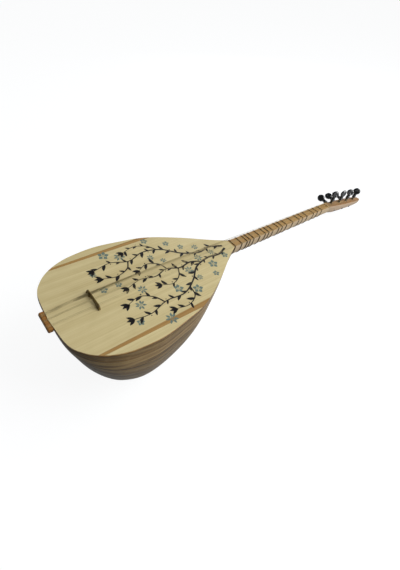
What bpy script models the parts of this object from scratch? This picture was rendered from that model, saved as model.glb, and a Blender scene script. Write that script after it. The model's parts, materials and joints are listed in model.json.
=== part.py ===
"""A baglama: a pear shaped lute with a bowl of bent ribs, a flat soundboard, tied frets and seven pegs.

Lengths are in metres. The instrument is built in its own frame: +Y runs from the tail to the peg
head, +X to the treble side and +Z up from the soundboard's face, with the bowl's tail end at y = 0.
The neck and the head each have an empty of their own in it, since both lean back a little. A last
empty lays the whole on its back, on the bowl and the tip of the head, over the world origin.
"""
import math

import bmesh
import bpy
import numpy as np
from mathutils import Matrix, Vector

# General
GAP = 0.0003                # clearance between neighbouring pieces
SHAFT_SIDES = 12            # facets round a turned shaft

# Scale and frets
SCALE_LENGTH = 0.760        # nut to bridge, before compensation
BRIDGE_COMPENSATION = 0.012
FRET_CENTS = (90, 150, 204, 294, 355, 408, 498, 588, 650, 702,
              792, 853, 906, 996, 1090, 1150, 1200, 1290, 1404)
FRET_LINE = 0.0008          # diameter of the nylon line
FRET_TURNS = 3
FRET_PITCH = 0.00125

# Bowl: distance from the tail, half width and depth below the rim
BOWL_LENGTH = 0.4226
BOWL_STATIONS = (
    (0.000, 0.0000, 0.000),
    (0.006, 0.0578, 0.018),
    (0.020, 0.0815, 0.047),
    (0.041, 0.0996, 0.088),
    (0.070, 0.1129, 0.132),
    (0.100, 0.1190, 0.167),
    (0.144, 0.1217, 0.197),
    (0.194, 0.1155, 0.204),
    (0.251, 0.1040, 0.180),
    (0.321, 0.0712, 0.135),
    (0.390, 0.0300, 0.075),
    (BOWL_LENGTH, 0.0130, 0.031),
)
BOWL_FULLNESS = 2.6         # exponent of the cross section, 2 is an ellipse
BOWL_WALL = 0.003
RIB_COUNT = 9
RIB_FACETS = 3              # facets across one rib
RIB_STEPS = 20              # facets along one rib
RIB_START = 0.02            # where a rib begins, as a share of the way from the tail
SOUND_HOLE_RADIUS = 0.009
SOUND_HOLE_Z = -0.060       # height of the sound hole in the tail, from the soundboard

# Blocks inside the bowl, from one row of the ribs' facets to another
TAIL_BLOCK_ROWS = (2, 4)
NECK_BLOCK_ROWS = (17, RIB_STEPS)

# Soundboard
BOARD_THICKNESS = 0.0028
STRIPS = {                  # y, centre's distance from the middle and width, towards tail and neck
    "treble": ((0.050, 0.0986, 0.0050), (0.250, 0.1020, 0.0100)),
    "bass": ((0.050, 0.1012, 0.0050), (0.250, 0.1036, 0.0090)),
}

# String holder on the tail
HOLDER_WIDTH = 0.041
HOLDER_REACH = 0.0075
HOLDER_HEIGHT = 0.0065
HOLDER_EDGE = 0.001
HOLDER_HOLE_RADIUS = 0.0007
HOLDER_HOLE_Z = -0.0035

# Neck
NECK_WIDTH_BODY = 0.0235
NECK_WIDTH_NUT = 0.0205
NECK_DEPTH_BODY = 0.0325
NECK_DEPTH_NUT = 0.0300
NECK_CHAMFER = 0.0012
NECK_FULLNESS = 2.6
NECK_BEHIND_NUT = 0.004
NECK_TILT = math.radians(0.87)  # how far the neck leans back from the soundboard
FIRST_FRET_TO_BOWL = 0.0042     # from the bowl's end to the highest fret
TENON_WIDTH = 0.008
TENON_DEPTH = 0.018
TENON_TOP = 0.007
TENON_LENGTH = 0.032
SPLICE_SLOPE = 0.6          # how far the head's splice runs back for each unit of depth

# Nut and bridge
NUT_THICKNESS = 0.006
NUT_SEAT = 0.003
NUT_HEIGHT = 0.0024
BRIDGE_LENGTH = 0.0460
BRIDGE_HEIGHT = 0.0088
BRIDGE_FOOT = 0.0042
BRIDGE_TOP = 0.0018
BRIDGE_ARCH = 0.0035

# Peg head, with stations of distance from the neck, half width and depth behind its splice
HEAD_TILT = math.radians(7.2)
HEAD_LENGTH = 0.234
HEAD_STATIONS = (
    (0.040, 0.0124, 0.0285),
    (0.095, 0.0135, 0.0250),
    (0.150, 0.0132, 0.0215),
    (0.195, 0.0118, 0.0185),
    (0.218, 0.0104, 0.0155),
    (0.229, 0.0086, 0.0115),
    (HEAD_LENGTH, 0.0058, 0.0075),
)
HEAD_CHAMFER = 0.002
HEAD_FULLNESS = 4.0

# Pegs
PEG_FRONT_PLACES = (0.025, 0.079, 0.130, 0.182)
PEG_FRONT_X = (-0.0025, 0.0, 0.0005, 0.0010)
PEG_SIDE_PLACES = (0.045, 0.098, 0.149)
PEG_SIDE_SHARE = 0.50       # where the side pegs go in, as a share of the head's depth
PEG_SIDE_RAKE = math.radians(10)    # how far the side pegs lean towards the head's face
PEG_RADIUS = 0.0037         # where the shaft leaves the wood
PEG_TAPER = 0.025           # loss of radius for each unit of length into the wood
PEG_PROUD = 0.0025          # how far the shaft's end stands out of the far side
PEG_NECK = 0.0095           # length of the bare shaft outside the wood, for the string
PEG_STEM = 0.0215           # from the wood to the paddle
PEG_COLLAR = 0.0055         # radius of the thick stem
PADDLE_WIDTH = 0.0205
PADDLE_HEIGHT = 0.0220
PADDLE_THICKNESS = 0.0095
PEG_FRONT_TURNS = (60, 78, 48, 25)    # how each paddle is turned, in degrees
PEG_SIDE_TURNS = (15, 45, 60)

# Strings: name, place across the string holder, bridge and nut, and diameter
STRINGS = (
    ("string_bass_1", -0.0135, -0.0178, -0.0090, 0.00060),
    ("string_bass_2", -0.0115, -0.0156, -0.0075, 0.00040),
    ("string_bass_3", -0.0095, -0.0135, -0.0060, 0.00040),
    ("string_middle_1", -0.0010, -0.0011, -0.0008, 0.00045),
    ("string_middle_2", 0.0010, 0.0011, 0.0008, 0.00045),
    ("string_treble_1", 0.0115, 0.0150, 0.0066, 0.00040),
    ("string_treble_2", 0.0135, 0.0173, 0.0082, 0.00040),
)
SIDE_STRINGS = 3            # the first strings go to the side pegs, in order, the rest to the front
SIDE_STRING_BENDS = (0.016, 0.062, 0.109)   # where each of these leaves the head's face
STRING_OVER_NUT = 0.0020    # centre of a string at the nut, above the neck's face
STRING_OVER_BRIDGE = 0.0087
STRING_END = 0.004          # how deep a string's end sits in the string holder
WINDING_TURNS = 3
WINDING_PITCH = 0.00105
WINDING_POINTS = 8
WINDING_START = 0.0055      # where a front peg's winding begins, above the wood
SIDE_WINDING_START = 0.0030

# Derived places
RIM = BOARD_THICKNESS + GAP
NECK_START = BOWL_LENGTH + GAP
NUT_PLACE = FIRST_FRET_TO_BOWL + SCALE_LENGTH * (1 - 2 ** (-FRET_CENTS[-1] / 1200))
NECK_LENGTH = NUT_PLACE + NUT_THICKNESS + GAP + NECK_BEHIND_NUT
BRIDGE_Y = NECK_START + NUT_PLACE - SCALE_LENGTH - BRIDGE_COMPENSATION

# Colours: red, green, blue, roughness, metallic
FINISHES = {
    "walnut": ((0.16, 0.085, 0.04), 0.25, 0.0),
    "spruce": ((0.60, 0.47, 0.24), 0.35, 0.0),
    "strip_wood": ((0.36, 0.19, 0.07), 0.35, 0.0),
    "inner_wood": ((0.45, 0.30, 0.15), 0.7, 0.0),
    "neck_wood": ((0.33, 0.17, 0.06), 0.35, 0.0),
    "dark_wood": ((0.10, 0.05, 0.02), 0.4, 0.0),
    "bone": ((0.42, 0.29, 0.14), 0.4, 0.0),
    "black_wood": ((0.004, 0.005, 0.006), 0.15, 0.0),
    "nylon": ((0.10, 0.05, 0.02), 0.3, 0.0),
    "steel": ((0.55, 0.53, 0.48), 0.25, 1.0),
}


def clear_scene():
    for old in list(bpy.data.objects):
        bpy.data.objects.remove(old, do_unlink=True)


clear_scene()
PARTS = bpy.data.collections.new("baglama")
GUIDES = bpy.data.collections.new("cutters")
bpy.context.scene.collection.children.link(PARTS)
bpy.context.scene.collection.children.link(GUIDES)

LYING = bpy.data.objects.new("lying_on_its_back", None)
NECK_FRAME = bpy.data.objects.new("neck_frame", None)
HEAD_FRAME = bpy.data.objects.new("head_frame", None)
for empty in (LYING, NECK_FRAME, HEAD_FRAME):
    PARTS.objects.link(empty)
NECK_FRAME.parent = LYING
NECK_FRAME.location = (0, NECK_START, 0)
NECK_FRAME.rotation_euler = (-NECK_TILT, 0, 0)
HEAD_FRAME.parent = NECK_FRAME
HEAD_FRAME.location = (0, NECK_LENGTH + GAP, 0)
HEAD_FRAME.rotation_euler = (-HEAD_TILT, 0, 0)


def finish(name):
    material = bpy.data.materials.get(name)
    if material is None:
        colour, roughness, metallic = FINISHES[name]
        material = bpy.data.materials.new(name)
        material.use_nodes = True
        shader = material.node_tree.nodes["Principled BSDF"]
        shader.inputs["Base Color"].default_value = (*colour, 1)
        shader.inputs["Roughness"].default_value = roughness
        shader.inputs["Metallic"].default_value = metallic
        material.diffuse_color = (*colour, 1)
    return material


def add_part(name, data, finish_name, parent=LYING):
    part = bpy.data.objects.new(name, data)
    part.parent = parent
    part.data.materials.append(finish(finish_name).copy())
    part.active_material.name = name
    PARTS.objects.link(part)
    return part


def add_guide(name, data, group, parent=LYING):
    guide = bpy.data.objects.new(name, data)
    guide.parent = parent
    guide.hide_render = True
    guide.display_type = "WIRE"
    if group.name not in GUIDES.children:
        GUIDES.children.link(group)
    group.objects.link(guide)
    return guide


def mesh_of(bm, name, smooth_angle=35):
    bmesh.ops.recalc_face_normals(bm, faces=bm.faces)
    mesh = bpy.data.meshes.new(name)
    bm.to_mesh(mesh)
    bm.free()
    mesh.shade_smooth()
    mesh.set_sharp_from_angle(angle=math.radians(smooth_angle))
    return mesh


def loft_mesh(name, loops, fan_caps=False):
    """A closed solid through loops of points, all with the same count, capped at both ends."""
    bm = bmesh.new()
    rings = [[bm.verts.new(point) for point in loop] for loop in loops]
    for low, high in zip(rings, rings[1:]):
        for i in range(len(low)):
            j = (i + 1) % len(low)
            bm.faces.new((low[i], low[j], high[j], high[i]))
    caps = [bm.faces.new(reversed(rings[0])), bm.faces.new(rings[-1])]
    if fan_caps:
        bmesh.ops.poke(bm, faces=caps)
    return mesh_of(bm, name)


def shell_mesh(name, outer, inner):
    """A closed plate between two grids of points that have the same rows and columns."""
    rows, columns = outer.shape[:2]
    bm = bmesh.new()
    skin = [[bm.verts.new(p) for p in row] for row in outer]
    lining = [[bm.verts.new(p) for p in row] for row in inner]
    for i in range(rows - 1):
        for j in range(columns - 1):
            bm.faces.new((skin[i][j], skin[i + 1][j], skin[i + 1][j + 1], skin[i][j + 1]))
            bm.faces.new((lining[i][j], lining[i][j + 1], lining[i + 1][j + 1], lining[i + 1][j]))
    for i in range(rows - 1):
        for j in (0, columns - 1):
            bm.faces.new((skin[i][j], lining[i][j], lining[i + 1][j], skin[i + 1][j]))
    for j in range(columns - 1):
        for i in (0, rows - 1):
            bm.faces.new((skin[i][j], skin[i][j + 1], lining[i][j + 1], lining[i][j]))
    return mesh_of(bm, name)


def plate_mesh(name, outline, low, high):
    """A flat plate: an outline of (x, y) points between two heights."""
    return loft_mesh(name, [[(x, y, z) for x, y in outline] for z in (low, high)])


def box_mesh(name, size, centre):
    bm = bmesh.new()
    bmesh.ops.create_cube(bm, size=1.0)
    bmesh.ops.scale(bm, vec=size, verts=bm.verts)
    bmesh.ops.translate(bm, vec=centre, verts=bm.verts)
    return mesh_of(bm, name)


def rod_mesh(name, low_radius, high_radius, low, high, sides=SHAFT_SIDES):
    """A round rod or cone along Z, from low to high."""
    bm = bmesh.new()
    bmesh.ops.create_cone(bm, cap_ends=True, segments=sides, radius1=low_radius,
                          radius2=high_radius, depth=high - low)
    bmesh.ops.translate(bm, vec=(0, 0, (low + high) / 2), verts=bm.verts)
    return mesh_of(bm, name)


def along_y(guide, place):
    """Turns a guide made along Z to point along Y, from a place."""
    guide.location = place
    guide.rotation_euler = (-math.pi / 2, 0, 0)


def combine(part, group, operation):
    """Cuts a group of guides from a part, or joins them to it."""
    modifier = part.modifiers.new(operation.lower(), "BOOLEAN")
    modifier.operation = operation
    modifier.solver = "EXACT"
    modifier.operand_type = "COLLECTION"
    modifier.collection = group
    return modifier


def tube(name, points, diameter, finish_name, resolution=1, parent=LYING):
    """A line of round section through points, with filled ends."""
    curve = bpy.data.curves.new(name, "CURVE")
    curve.dimensions = "3D"
    curve.bevel_depth = diameter / 2
    curve.bevel_resolution = resolution
    curve.use_fill_caps = True
    spline = curve.splines.new("POLY")
    spline.points.add(len(points) - 1)
    for point, place in zip(spline.points, points):
        point.co = (*place, 1)
    spline.use_smooth = True
    return add_part(name, curve, finish_name, parent)


def smooth_line(points, share):
    """The point at a share of the way along a smooth line through points, in any number of axes."""
    points = np.array(points, float)
    steps = np.sqrt(np.linalg.norm(np.diff(points, axis=0), axis=1))
    knots = np.concatenate([[0], np.cumsum(steps)])
    ahead = np.vstack([points[1:], 2 * points[-1] - points[-2]])
    behind = np.vstack([2 * points[0] - points[1], points[:-1]])
    after = np.append(steps, steps[-1])[:, None]
    before = np.insert(steps, 0, steps[0])[:, None]
    slopes = ((ahead - points) / after * before + (points - behind) / before * after) / (before + after)
    at = np.atleast_1d(share) * knots[-1]
    i = np.clip(np.searchsorted(knots, at, side="right") - 1, 0, len(steps) - 1)
    width = steps[i][:, None]
    s = ((at - knots[i]) / steps[i])[:, None]
    return ((2 * s**3 - 3 * s**2 + 1) * points[i] + (s**3 - 2 * s**2 + s) * width * slopes[i]
            + (3 * s**2 - 2 * s**3) * points[i + 1] + (s**3 - s**2) * width * slopes[i + 1])


def share_at(y):
    """How far along the bowl's line a distance from the tail lies."""
    shares = np.linspace(0, 1, 400)
    return float(np.interp(y, smooth_line(BOWL_STATIONS, shares)[:, 0], shares))


def bowl_arc(station, steps=241):
    """The bowl's cross section as points, treble edge to bass edge, and its length up to each."""
    y, half_width, depth = station
    angle = np.linspace(0, math.pi, steps)
    power = 2 / BOWL_FULLNESS
    x = half_width * np.sign(np.cos(angle)) * np.abs(np.cos(angle)) ** power
    z = -RIM - depth * np.abs(np.sin(angle)) ** power
    arc = np.concatenate([[0], np.cumsum(np.hypot(np.diff(x), np.diff(z)))])
    return x, z, arc


def bowl_rows(shares, fractions):
    """Points on the bowl: a row for each share along it, at fractions of the arc across it."""
    rows = []
    stations = smooth_line(BOWL_STATIONS, np.clip(shares, 0, 1))
    for station, row in zip(stations, fractions):
        x, z, arc = bowl_arc(station)
        at = np.clip(row, 0, 1) * arc[-1]
        rows.append(np.stack([np.interp(at, arc, x), np.full(len(at), station[0]),
                              np.interp(at, arc, z)], -1))
    return np.array(rows)


def bowl_grid(shares, fractions, inset=0.0):
    """The same points, or points inset from the bowl's surface. Rim and neck end stay flat."""
    grid = bowl_rows(shares, fractions)
    if not inset:
        return grid
    step = 0.004
    along = bowl_rows(shares + step, fractions) - bowl_rows(shares - step, fractions)
    across = bowl_rows(shares, fractions + step) - bowl_rows(shares, fractions - step)
    normal = np.cross(along, across)
    normal[fractions <= 0] *= (1, 1, 0)
    normal[fractions >= 1] *= (1, 1, 0)
    normal[shares >= 1] *= (1, 0, 1)
    return grid + inset * normal / np.linalg.norm(normal, axis=2, keepdims=True)


def rib_fractions(shares, rib):
    """Where one rib's facets lie across the bowl, with half a gap at each joint."""
    rows = []
    for station in smooth_line(BOWL_STATIONS, shares):
        half_gap = GAP / 2 / bowl_arc(station)[2][-1]
        low = rib / RIB_COUNT + (half_gap if rib else 0)
        high = (rib + 1) / RIB_COUNT - (half_gap if rib < RIB_COUNT - 1 else 0)
        rows.append(np.linspace(low, high, RIB_FACETS + 1))
    return np.array(rows)


def rib_shares():
    """How far along the bowl's line the ribs' facets begin."""
    return np.linspace(RIB_START, 1, RIB_STEPS + 1)


def make_ribs():
    shares = rib_shares()
    ribs = []
    for rib in range(RIB_COUNT):
        fractions = rib_fractions(shares, rib)
        mesh = shell_mesh(f"bowl_rib_{rib + 1}", bowl_grid(shares, fractions),
                          bowl_grid(shares, fractions, BOWL_WALL))
        ribs.append(add_part(f"bowl_rib_{rib + 1}", mesh, "walnut"))
    group = bpy.data.collections.new("sound_hole")
    rod = rod_mesh("sound_hole_cutter", SOUND_HOLE_RADIUS, SOUND_HOLE_RADIUS, 0, BOWL_LENGTH / 4, 24)
    along_y(add_guide("sound_hole_cutter", rod, group), (0, 0, SOUND_HOLE_Z))
    combine(ribs[RIB_COUNT // 2], group, "DIFFERENCE")


def block_mesh(name, first, last):
    """A solid that fills the bowl from one row of the ribs' facets to another."""
    shares = rib_shares()[first:last + 1]
    fractions = np.tile(np.linspace(0, 1, RIB_COUNT * RIB_FACETS + 1), (len(shares), 1))
    return loft_mesh(name, bowl_grid(shares, fractions, BOWL_WALL + GAP), fan_caps=True)


def strip_x(side, y, edge):
    """The inner (-1) or outer (+1) edge of one side's strip, at a distance from the tail."""
    (y0, x0, w0), (y1, x1, w1) = STRIPS[side]
    share = (y - y0) / (y1 - y0)
    return x0 + (x1 - x0) * share + edge / 2 * (w0 + (w1 - w0) * share)


def board_edge(side):
    """The soundboard's edge as y and distance from the middle, with points where a strip meets it."""
    y, x, _ = smooth_line(BOWL_STATIONS, np.linspace(0, 1, 1501) ** 1.3).T
    keep = np.arange(len(y)) % 30 == 0
    for edge in (-1, 1):
        for i in np.flatnonzero(np.diff(x > strip_x(side, y, edge))):
            keep[i - 1:i + 3] = True
    return y[keep], x[keep]


def board_band(side, inner, outer):
    """The outline of one half of the soundboard between two lines, as (distance, y) points."""
    y, edge = board_edge(side)
    low, high = inner(y), np.minimum(outer(y), edge)
    keep = high - low > 0.0001
    y, low, high = y[keep], low[keep], high[keep]
    return [(a, b) for a, b in zip(high, y)] + [(a, b) for a, b in zip(low[::-1], y[::-1])]


def make_board():
    """The soundboard in five strips: the centre, a dark strip at each side of it, and two wings."""
    half_gap = GAP / 2
    outline = [(0, 0)]
    for side, sign in (("treble", 1), ("bass", -1)):
        centre = board_band(side, lambda y: 0 * y, lambda y: strip_x(side, y, -1) - half_gap)
        edge = [(sign * x, y) for x, y in centre[:len(centre) // 2]]
        outline += edge[::sign]
        strip = board_band(side, lambda y: strip_x(side, y, -1) + half_gap,
                           lambda y: strip_x(side, y, 1) - half_gap)
        wing = board_band(side, lambda y: strip_x(side, y, 1) + half_gap, lambda y: 0 * y + 1)
        for kind, shape, wood in (("strip", strip, "strip_wood"), ("wing", wing, "spruce")):
            name = f"{kind}_{side}"
            points = [(sign * x, y) for x, y in shape][::sign]
            add_part(name, plate_mesh(name, points, -BOARD_THICKNESS, 0), wood)
    mesh = plate_mesh("soundboard_centre", outline, -BOARD_THICKNESS, 0)
    add_part("soundboard_centre", mesh, "spruce")


def d_section(half_width, depth, chamfer, fullness):
    """Twelve (x, z) points of a neck's cross section: flat in front, round behind."""
    points = [(chamfer - half_width, 0.0), (half_width - chamfer, 0.0), (half_width, -chamfer)]
    for i in range(1, 9):
        angle = math.pi * i / 9
        reach = half_width * abs(math.cos(angle)) ** (2 / fullness)
        fall = (depth - chamfer) * math.sin(angle) ** (2 / fullness)
        points.append((math.copysign(reach, math.cos(angle)), -chamfer - fall))
    return points + [(-half_width, -chamfer)]


def grown(loop, distance):
    """A clockwise loop of (x, z) points moved outwards by a distance."""
    points = np.array(loop)
    edge = np.roll(points, -1, axis=0) - points
    edge /= np.linalg.norm(edge, axis=1, keepdims=True)
    out = np.stack([-edge[:, 1], edge[:, 0]], -1)
    before = np.roll(out, 1, axis=0)
    return points + distance * (out + before) / (1 + (out * before).sum(1, keepdims=True))


def neck_section(y, distance=0.0):
    """The neck's cross section at a distance along it, or a loop at some distance round it."""
    share = y / NUT_PLACE
    half_width = (NECK_WIDTH_BODY + (NECK_WIDTH_NUT - NECK_WIDTH_BODY) * share) / 2
    depth = NECK_DEPTH_BODY + (NECK_DEPTH_NUT - NECK_DEPTH_BODY) * share
    return grown(d_section(half_width, depth, NECK_CHAMFER, NECK_FULLNESS), distance)


def make_neck():
    """The neck, with a tenon for the neck block, a slot for the nut and a sloped end for the head."""
    loops = [[(x, -z * math.tan(NECK_TILT), z) for x, z in neck_section(0)],
             [(x, NUT_PLACE, z) for x, z in neck_section(NUT_PLACE)],
             [(x, NECK_LENGTH - z * SPLICE_SLOPE, z) for x, z in neck_section(NECK_LENGTH)]]
    neck = add_part("neck", loft_mesh("neck", loops), "neck_wood", NECK_FRAME)
    slot = bpy.data.collections.new("nut_slot")
    size = (NECK_WIDTH_BODY * 2, NUT_THICKNESS + 2 * GAP, 2 * (NUT_SEAT + GAP))
    mesh = box_mesh("nut_slot_cutter", size, (0, NUT_PLACE + NUT_THICKNESS / 2, 0))
    add_guide("nut_slot_cutter", mesh, slot, NECK_FRAME)
    combine(neck, slot, "DIFFERENCE")
    joint = bpy.data.collections.new("neck_tenon")
    add_guide("tenon_guide", tenon_mesh("tenon_guide", 0), joint, NECK_FRAME)
    combine(neck, joint, "UNION")


def tenon_mesh(name, clearance):
    """The tenon on the neck's end, or the space for it in the neck block."""
    size = (TENON_WIDTH + 2 * clearance, (TENON_LENGTH + clearance) * 2, TENON_DEPTH + 2 * clearance)
    return box_mesh(name, size, (0, 0, -TENON_TOP - TENON_DEPTH / 2))


def make_blocks():
    add_part("tail_block", block_mesh("tail_block", *TAIL_BLOCK_ROWS), "inner_wood")
    block = add_part("neck_block", block_mesh("neck_block", *NECK_BLOCK_ROWS), "inner_wood")
    mortise = bpy.data.collections.new("mortise")
    add_guide("mortise_cutter", tenon_mesh("mortise_cutter", GAP), mortise, NECK_FRAME)
    combine(block, mortise, "DIFFERENCE")


def make_holder():
    """The string holder: its inner side follows the soundboard's end, and its face has seven holes."""
    outer = -GAP - HOLDER_REACH
    shares = np.linspace(0, share_at(0.006), 24)
    line = smooth_line(BOWL_STATIONS, shares)
    line = line[line[:, 1] < HOLDER_WIDTH / 2]
    inner = [(x, y - GAP) for y, x in line[:, :2]]
    inner.append((HOLDER_WIDTH / 2, float(np.interp(HOLDER_WIDTH / 2, line[:, 1], line[:, 0])) - GAP))
    half = [(0, inner[0][1])] + inner[1:] + [(HOLDER_WIDTH / 2, outer)]
    outline = half + [(-x, y) for x, y in reversed(half[1:])]
    mesh = plate_mesh("string_holder", outline, -HOLDER_HEIGHT, 0)
    holder = add_part("string_holder", mesh, "dark_wood")
    bevel = holder.modifiers.new("rounded_edges", "BEVEL")
    bevel.width = HOLDER_EDGE
    bevel.segments = 2
    bevel.limit_method = "ANGLE"
    bevel.angle_limit = math.radians(60)
    holes = bpy.data.collections.new("string_holes")
    for name, x, _, _, _ in STRINGS:
        rod = rod_mesh(f"{name}_hole", HOLDER_HOLE_RADIUS, HOLDER_HOLE_RADIUS, -HOLDER_EDGE,
                       STRING_END + GAP, 6)
        along_y(add_guide(f"{name}_hole", rod, holes), (x, outer, HOLDER_HOLE_Z))
    combine(holder, holes, "DIFFERENCE")


def string_slots(group_name, y, z, length, column, parent):
    """Round slots along the strings where they cross the nut or the bridge."""
    group = bpy.data.collections.new(group_name)
    for row in STRINGS:
        radius = row[4] / 2 + GAP
        rod = rod_mesh(f"{row[0]}_{group_name}", radius, radius, -length / 2, length / 2, 6)
        along_y(add_guide(f"{row[0]}_{group_name}", rod, group, parent), (row[column], y, z))
    return group


def make_nut():
    y = NUT_PLACE + NUT_THICKNESS / 2
    size = (NECK_WIDTH_NUT - 2 * NECK_CHAMFER, NUT_THICKNESS, NUT_HEIGHT + NUT_SEAT)
    mesh = box_mesh("nut", size, (0, y, (NUT_HEIGHT - NUT_SEAT) / 2))
    nut = add_part("nut", mesh, "bone", NECK_FRAME)
    slots = string_slots("nut_slots", y, STRING_OVER_NUT, NUT_THICKNESS * 2, 3, NECK_FRAME)
    combine(nut, slots, "DIFFERENCE")


def make_bridge():
    """The bridge stands on two feet and thins towards its top, with its origin on the soundboard."""
    half, foot, top = BRIDGE_LENGTH / 2, BRIDGE_FOOT / 2, BRIDGE_HEIGHT
    arch = half * 0.45
    outline = [(-half, 0), (-arch, 0), (-arch * 0.7, BRIDGE_ARCH), (arch * 0.7, BRIDGE_ARCH), (arch, 0),
               (half, 0), (half, top * 0.35), (half * 0.86, top), (-half * 0.86, top), (-half, top * 0.35)]

    def depth_at(z):
        return foot + (BRIDGE_TOP / 2 - foot) * z / top

    loops = [[(x, side * depth_at(z), z) for x, z in outline] for side in (-1, 1)]
    bridge = add_part("bridge", loft_mesh("bridge", loops), "dark_wood")
    bridge.location = (0, BRIDGE_Y, GAP)
    slots = string_slots("bridge_slots", BRIDGE_Y, STRING_OVER_BRIDGE, BRIDGE_FOOT * 2, 2, LYING)
    combine(bridge, slots, "DIFFERENCE")


def least_gap(points, diameter, apart):
    """The least clearance between stretches of a line that are some points apart along it."""
    points = np.array(points)
    gaps = [np.linalg.norm(points[i + apart:] - points[i], axis=1).min()
            for i in range(len(points) - apart)]
    return min(gaps) - diameter


def fret_points(y):
    """The route of one fret: a line wound round the neck, beginning and ending behind it."""
    corners = len(neck_section(y))
    points = []
    for i in range(FRET_TURNS * corners + 1):
        ahead = FRET_PITCH * (i / corners - FRET_TURNS / 2)
        x, z = neck_section(y + ahead, GAP + FRET_LINE / 2)[(i + corners // 2) % corners]
        points.append((x, ahead, z))
    return points


def make_frets():
    for number, cents in enumerate(FRET_CENTS, 1):
        y = NUT_PLACE - SCALE_LENGTH * (1 - 2 ** (-cents / 1200))
        points = fret_points(y)
        fret = tube(f"fret_{number:02d}", points, FRET_LINE, "nylon", 0, NECK_FRAME)
        fret.location = (0, y, 0)
    gap = least_gap(points, FRET_LINE, len(points) // FRET_TURNS - 2)
    print(f"least gap between a fret's turns: {gap * 1000:.2f} mm")


def head_splice():
    """The first cross section of the head, on the neck's sloped end, as (x, y, z) points."""
    slope = math.tan(HEAD_TILT + math.atan(SPLICE_SLOPE))
    return [(x, -z * slope, z) for x, z in neck_section(NECK_LENGTH)]


def head_size(place):
    """Half the head's width and its depth at a distance from the neck."""
    x, y, z = np.array(head_splice()).T
    places, half_widths, depths = np.array(HEAD_STATIONS).T
    half_width = np.interp(place, [0.0, *places], [x.max(), *half_widths])
    return float(half_width), float(np.interp(place, [y.max(), *places], [-z.min(), *depths]))


def make_head():
    """The peg head, spliced on the neck's sloped end, with seven tapered bores."""
    loops = [head_splice()]
    for place, half_width, depth in HEAD_STATIONS:
        section = d_section(half_width, depth, HEAD_CHAMFER, HEAD_FULLNESS)
        loops.append([(x, place, z) for x, z in section])
    head = add_part("peg_head", loft_mesh("peg_head", loops), "neck_wood", HEAD_FRAME)
    bores = bpy.data.collections.new("peg_bores")
    for name, location, turn, through in peg_places():
        reach = through + PEG_PROUD
        rod = rod_mesh(f"{name}_bore", peg_radius(-reach) + GAP, peg_radius(0.0) + GAP, -reach, PEG_PROUD)
        bore = add_guide(f"{name}_bore", rod, bores, HEAD_FRAME)
        place_peg(bore, location, turn)
    combine(head, bores, "DIFFERENCE")


def peg_radius(height):
    """The shaft's radius at a height above the wood, or below it."""
    return PEG_RADIUS + PEG_TAPER * min(height, 0)


def peg_places():
    """Name, entry into the wood, paddle's turn and depth of wood for each peg, in the head's frame."""
    rows = []
    for i, (place, x, turn) in enumerate(zip(PEG_FRONT_PLACES, PEG_FRONT_X, PEG_FRONT_TURNS), 1):
        rows.append((f"peg_front_{i}", (x, place, 0), turn, head_size(place)[1]))
    for i, (place, turn) in enumerate(zip(PEG_SIDE_PLACES, PEG_SIDE_TURNS), 1):
        half_width, depth = head_size(place)
        location = (-half_width, place, -depth * PEG_SIDE_SHARE)
        rows.append((f"peg_side_{i}", location, turn, 2 * half_width / math.cos(PEG_SIDE_RAKE)))
    return rows


def place_peg(part, location, turn):
    """Stands a peg in the head's face, or lays it in the bass side, turned about its own axis."""
    lay = Matrix.Rotation(PEG_SIDE_RAKE - math.pi / 2, 3, "Y") if location[2] else Matrix.Identity(3)
    part.location = location
    part.rotation_mode = "QUATERNION"
    part.rotation_quaternion = (lay @ Matrix.Rotation(math.radians(turn), 3, "Z")).to_quaternion()


def paddle_mesh(name):
    """A flat rounded paddle that narrows towards its stem."""
    bm = bmesh.new()
    bmesh.ops.create_uvsphere(bm, u_segments=SHAFT_SIDES, v_segments=8, radius=0.5)
    for vert in bm.verts:
        narrow = 1.0 - 0.25 * (vert.co.z + 0.5)
        vert.co = (vert.co.x * PADDLE_WIDTH, vert.co.y * PADDLE_THICKNESS * narrow,
                   (vert.co.z + 0.5) * PADDLE_HEIGHT + PEG_STEM)
    return mesh_of(bm, name)


def make_pegs():
    for name, location, turn, through in peg_places():
        end = -through - PEG_PROUD
        waist = (PEG_RADIUS + PEG_COLLAR) / 2
        profile = [(0, PEG_STEM + waist), (waist, PEG_STEM + waist), (waist, PEG_STEM),
                   (PEG_COLLAR, PEG_STEM - waist), (PEG_COLLAR, PEG_NECK + PEG_COLLAR - PEG_RADIUS),
                   (PEG_RADIUS, PEG_NECK), (PEG_RADIUS, 0), (peg_radius(end), end), (0, end)]
        mesh = bpy.data.meshes.new(name)
        mesh.from_pydata([(r, 0, z) for r, z in profile], [(i, i + 1) for i in range(len(profile) - 1)], [])
        peg = add_part(name, mesh, "black_wood", HEAD_FRAME)
        turned = peg.modifiers.new("turned", "SCREW")
        turned.steps = turned.render_steps = SHAFT_SIDES
        turned.use_merge_vertices = True
        turned.merge_threshold = 0.00001
        place_peg(peg, location, turn)
        group = bpy.data.collections.new(f"{name}_paddle")
        add_guide(f"{name}_paddle_guide", paddle_mesh(name), group, peg)
        combine(peg, group, "UNION")


def winding(centre, start, out, first, radius):
    """Points wound round a shaft: from its first side, onwards along Y, while it moves along out."""
    centre, out, first = Vector(centre), Vector(out), Vector(first)
    onward = Vector((0, 1, 0))
    points = []
    for i in range(WINDING_TURNS * WINDING_POINTS + 1):
        angle = 2 * math.pi * i / WINDING_POINTS
        height = start + WINDING_PITCH * i / WINDING_POINTS
        points.append(centre + out * height + radius * (first * math.cos(angle) + onward * math.sin(angle)))
    return points


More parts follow.
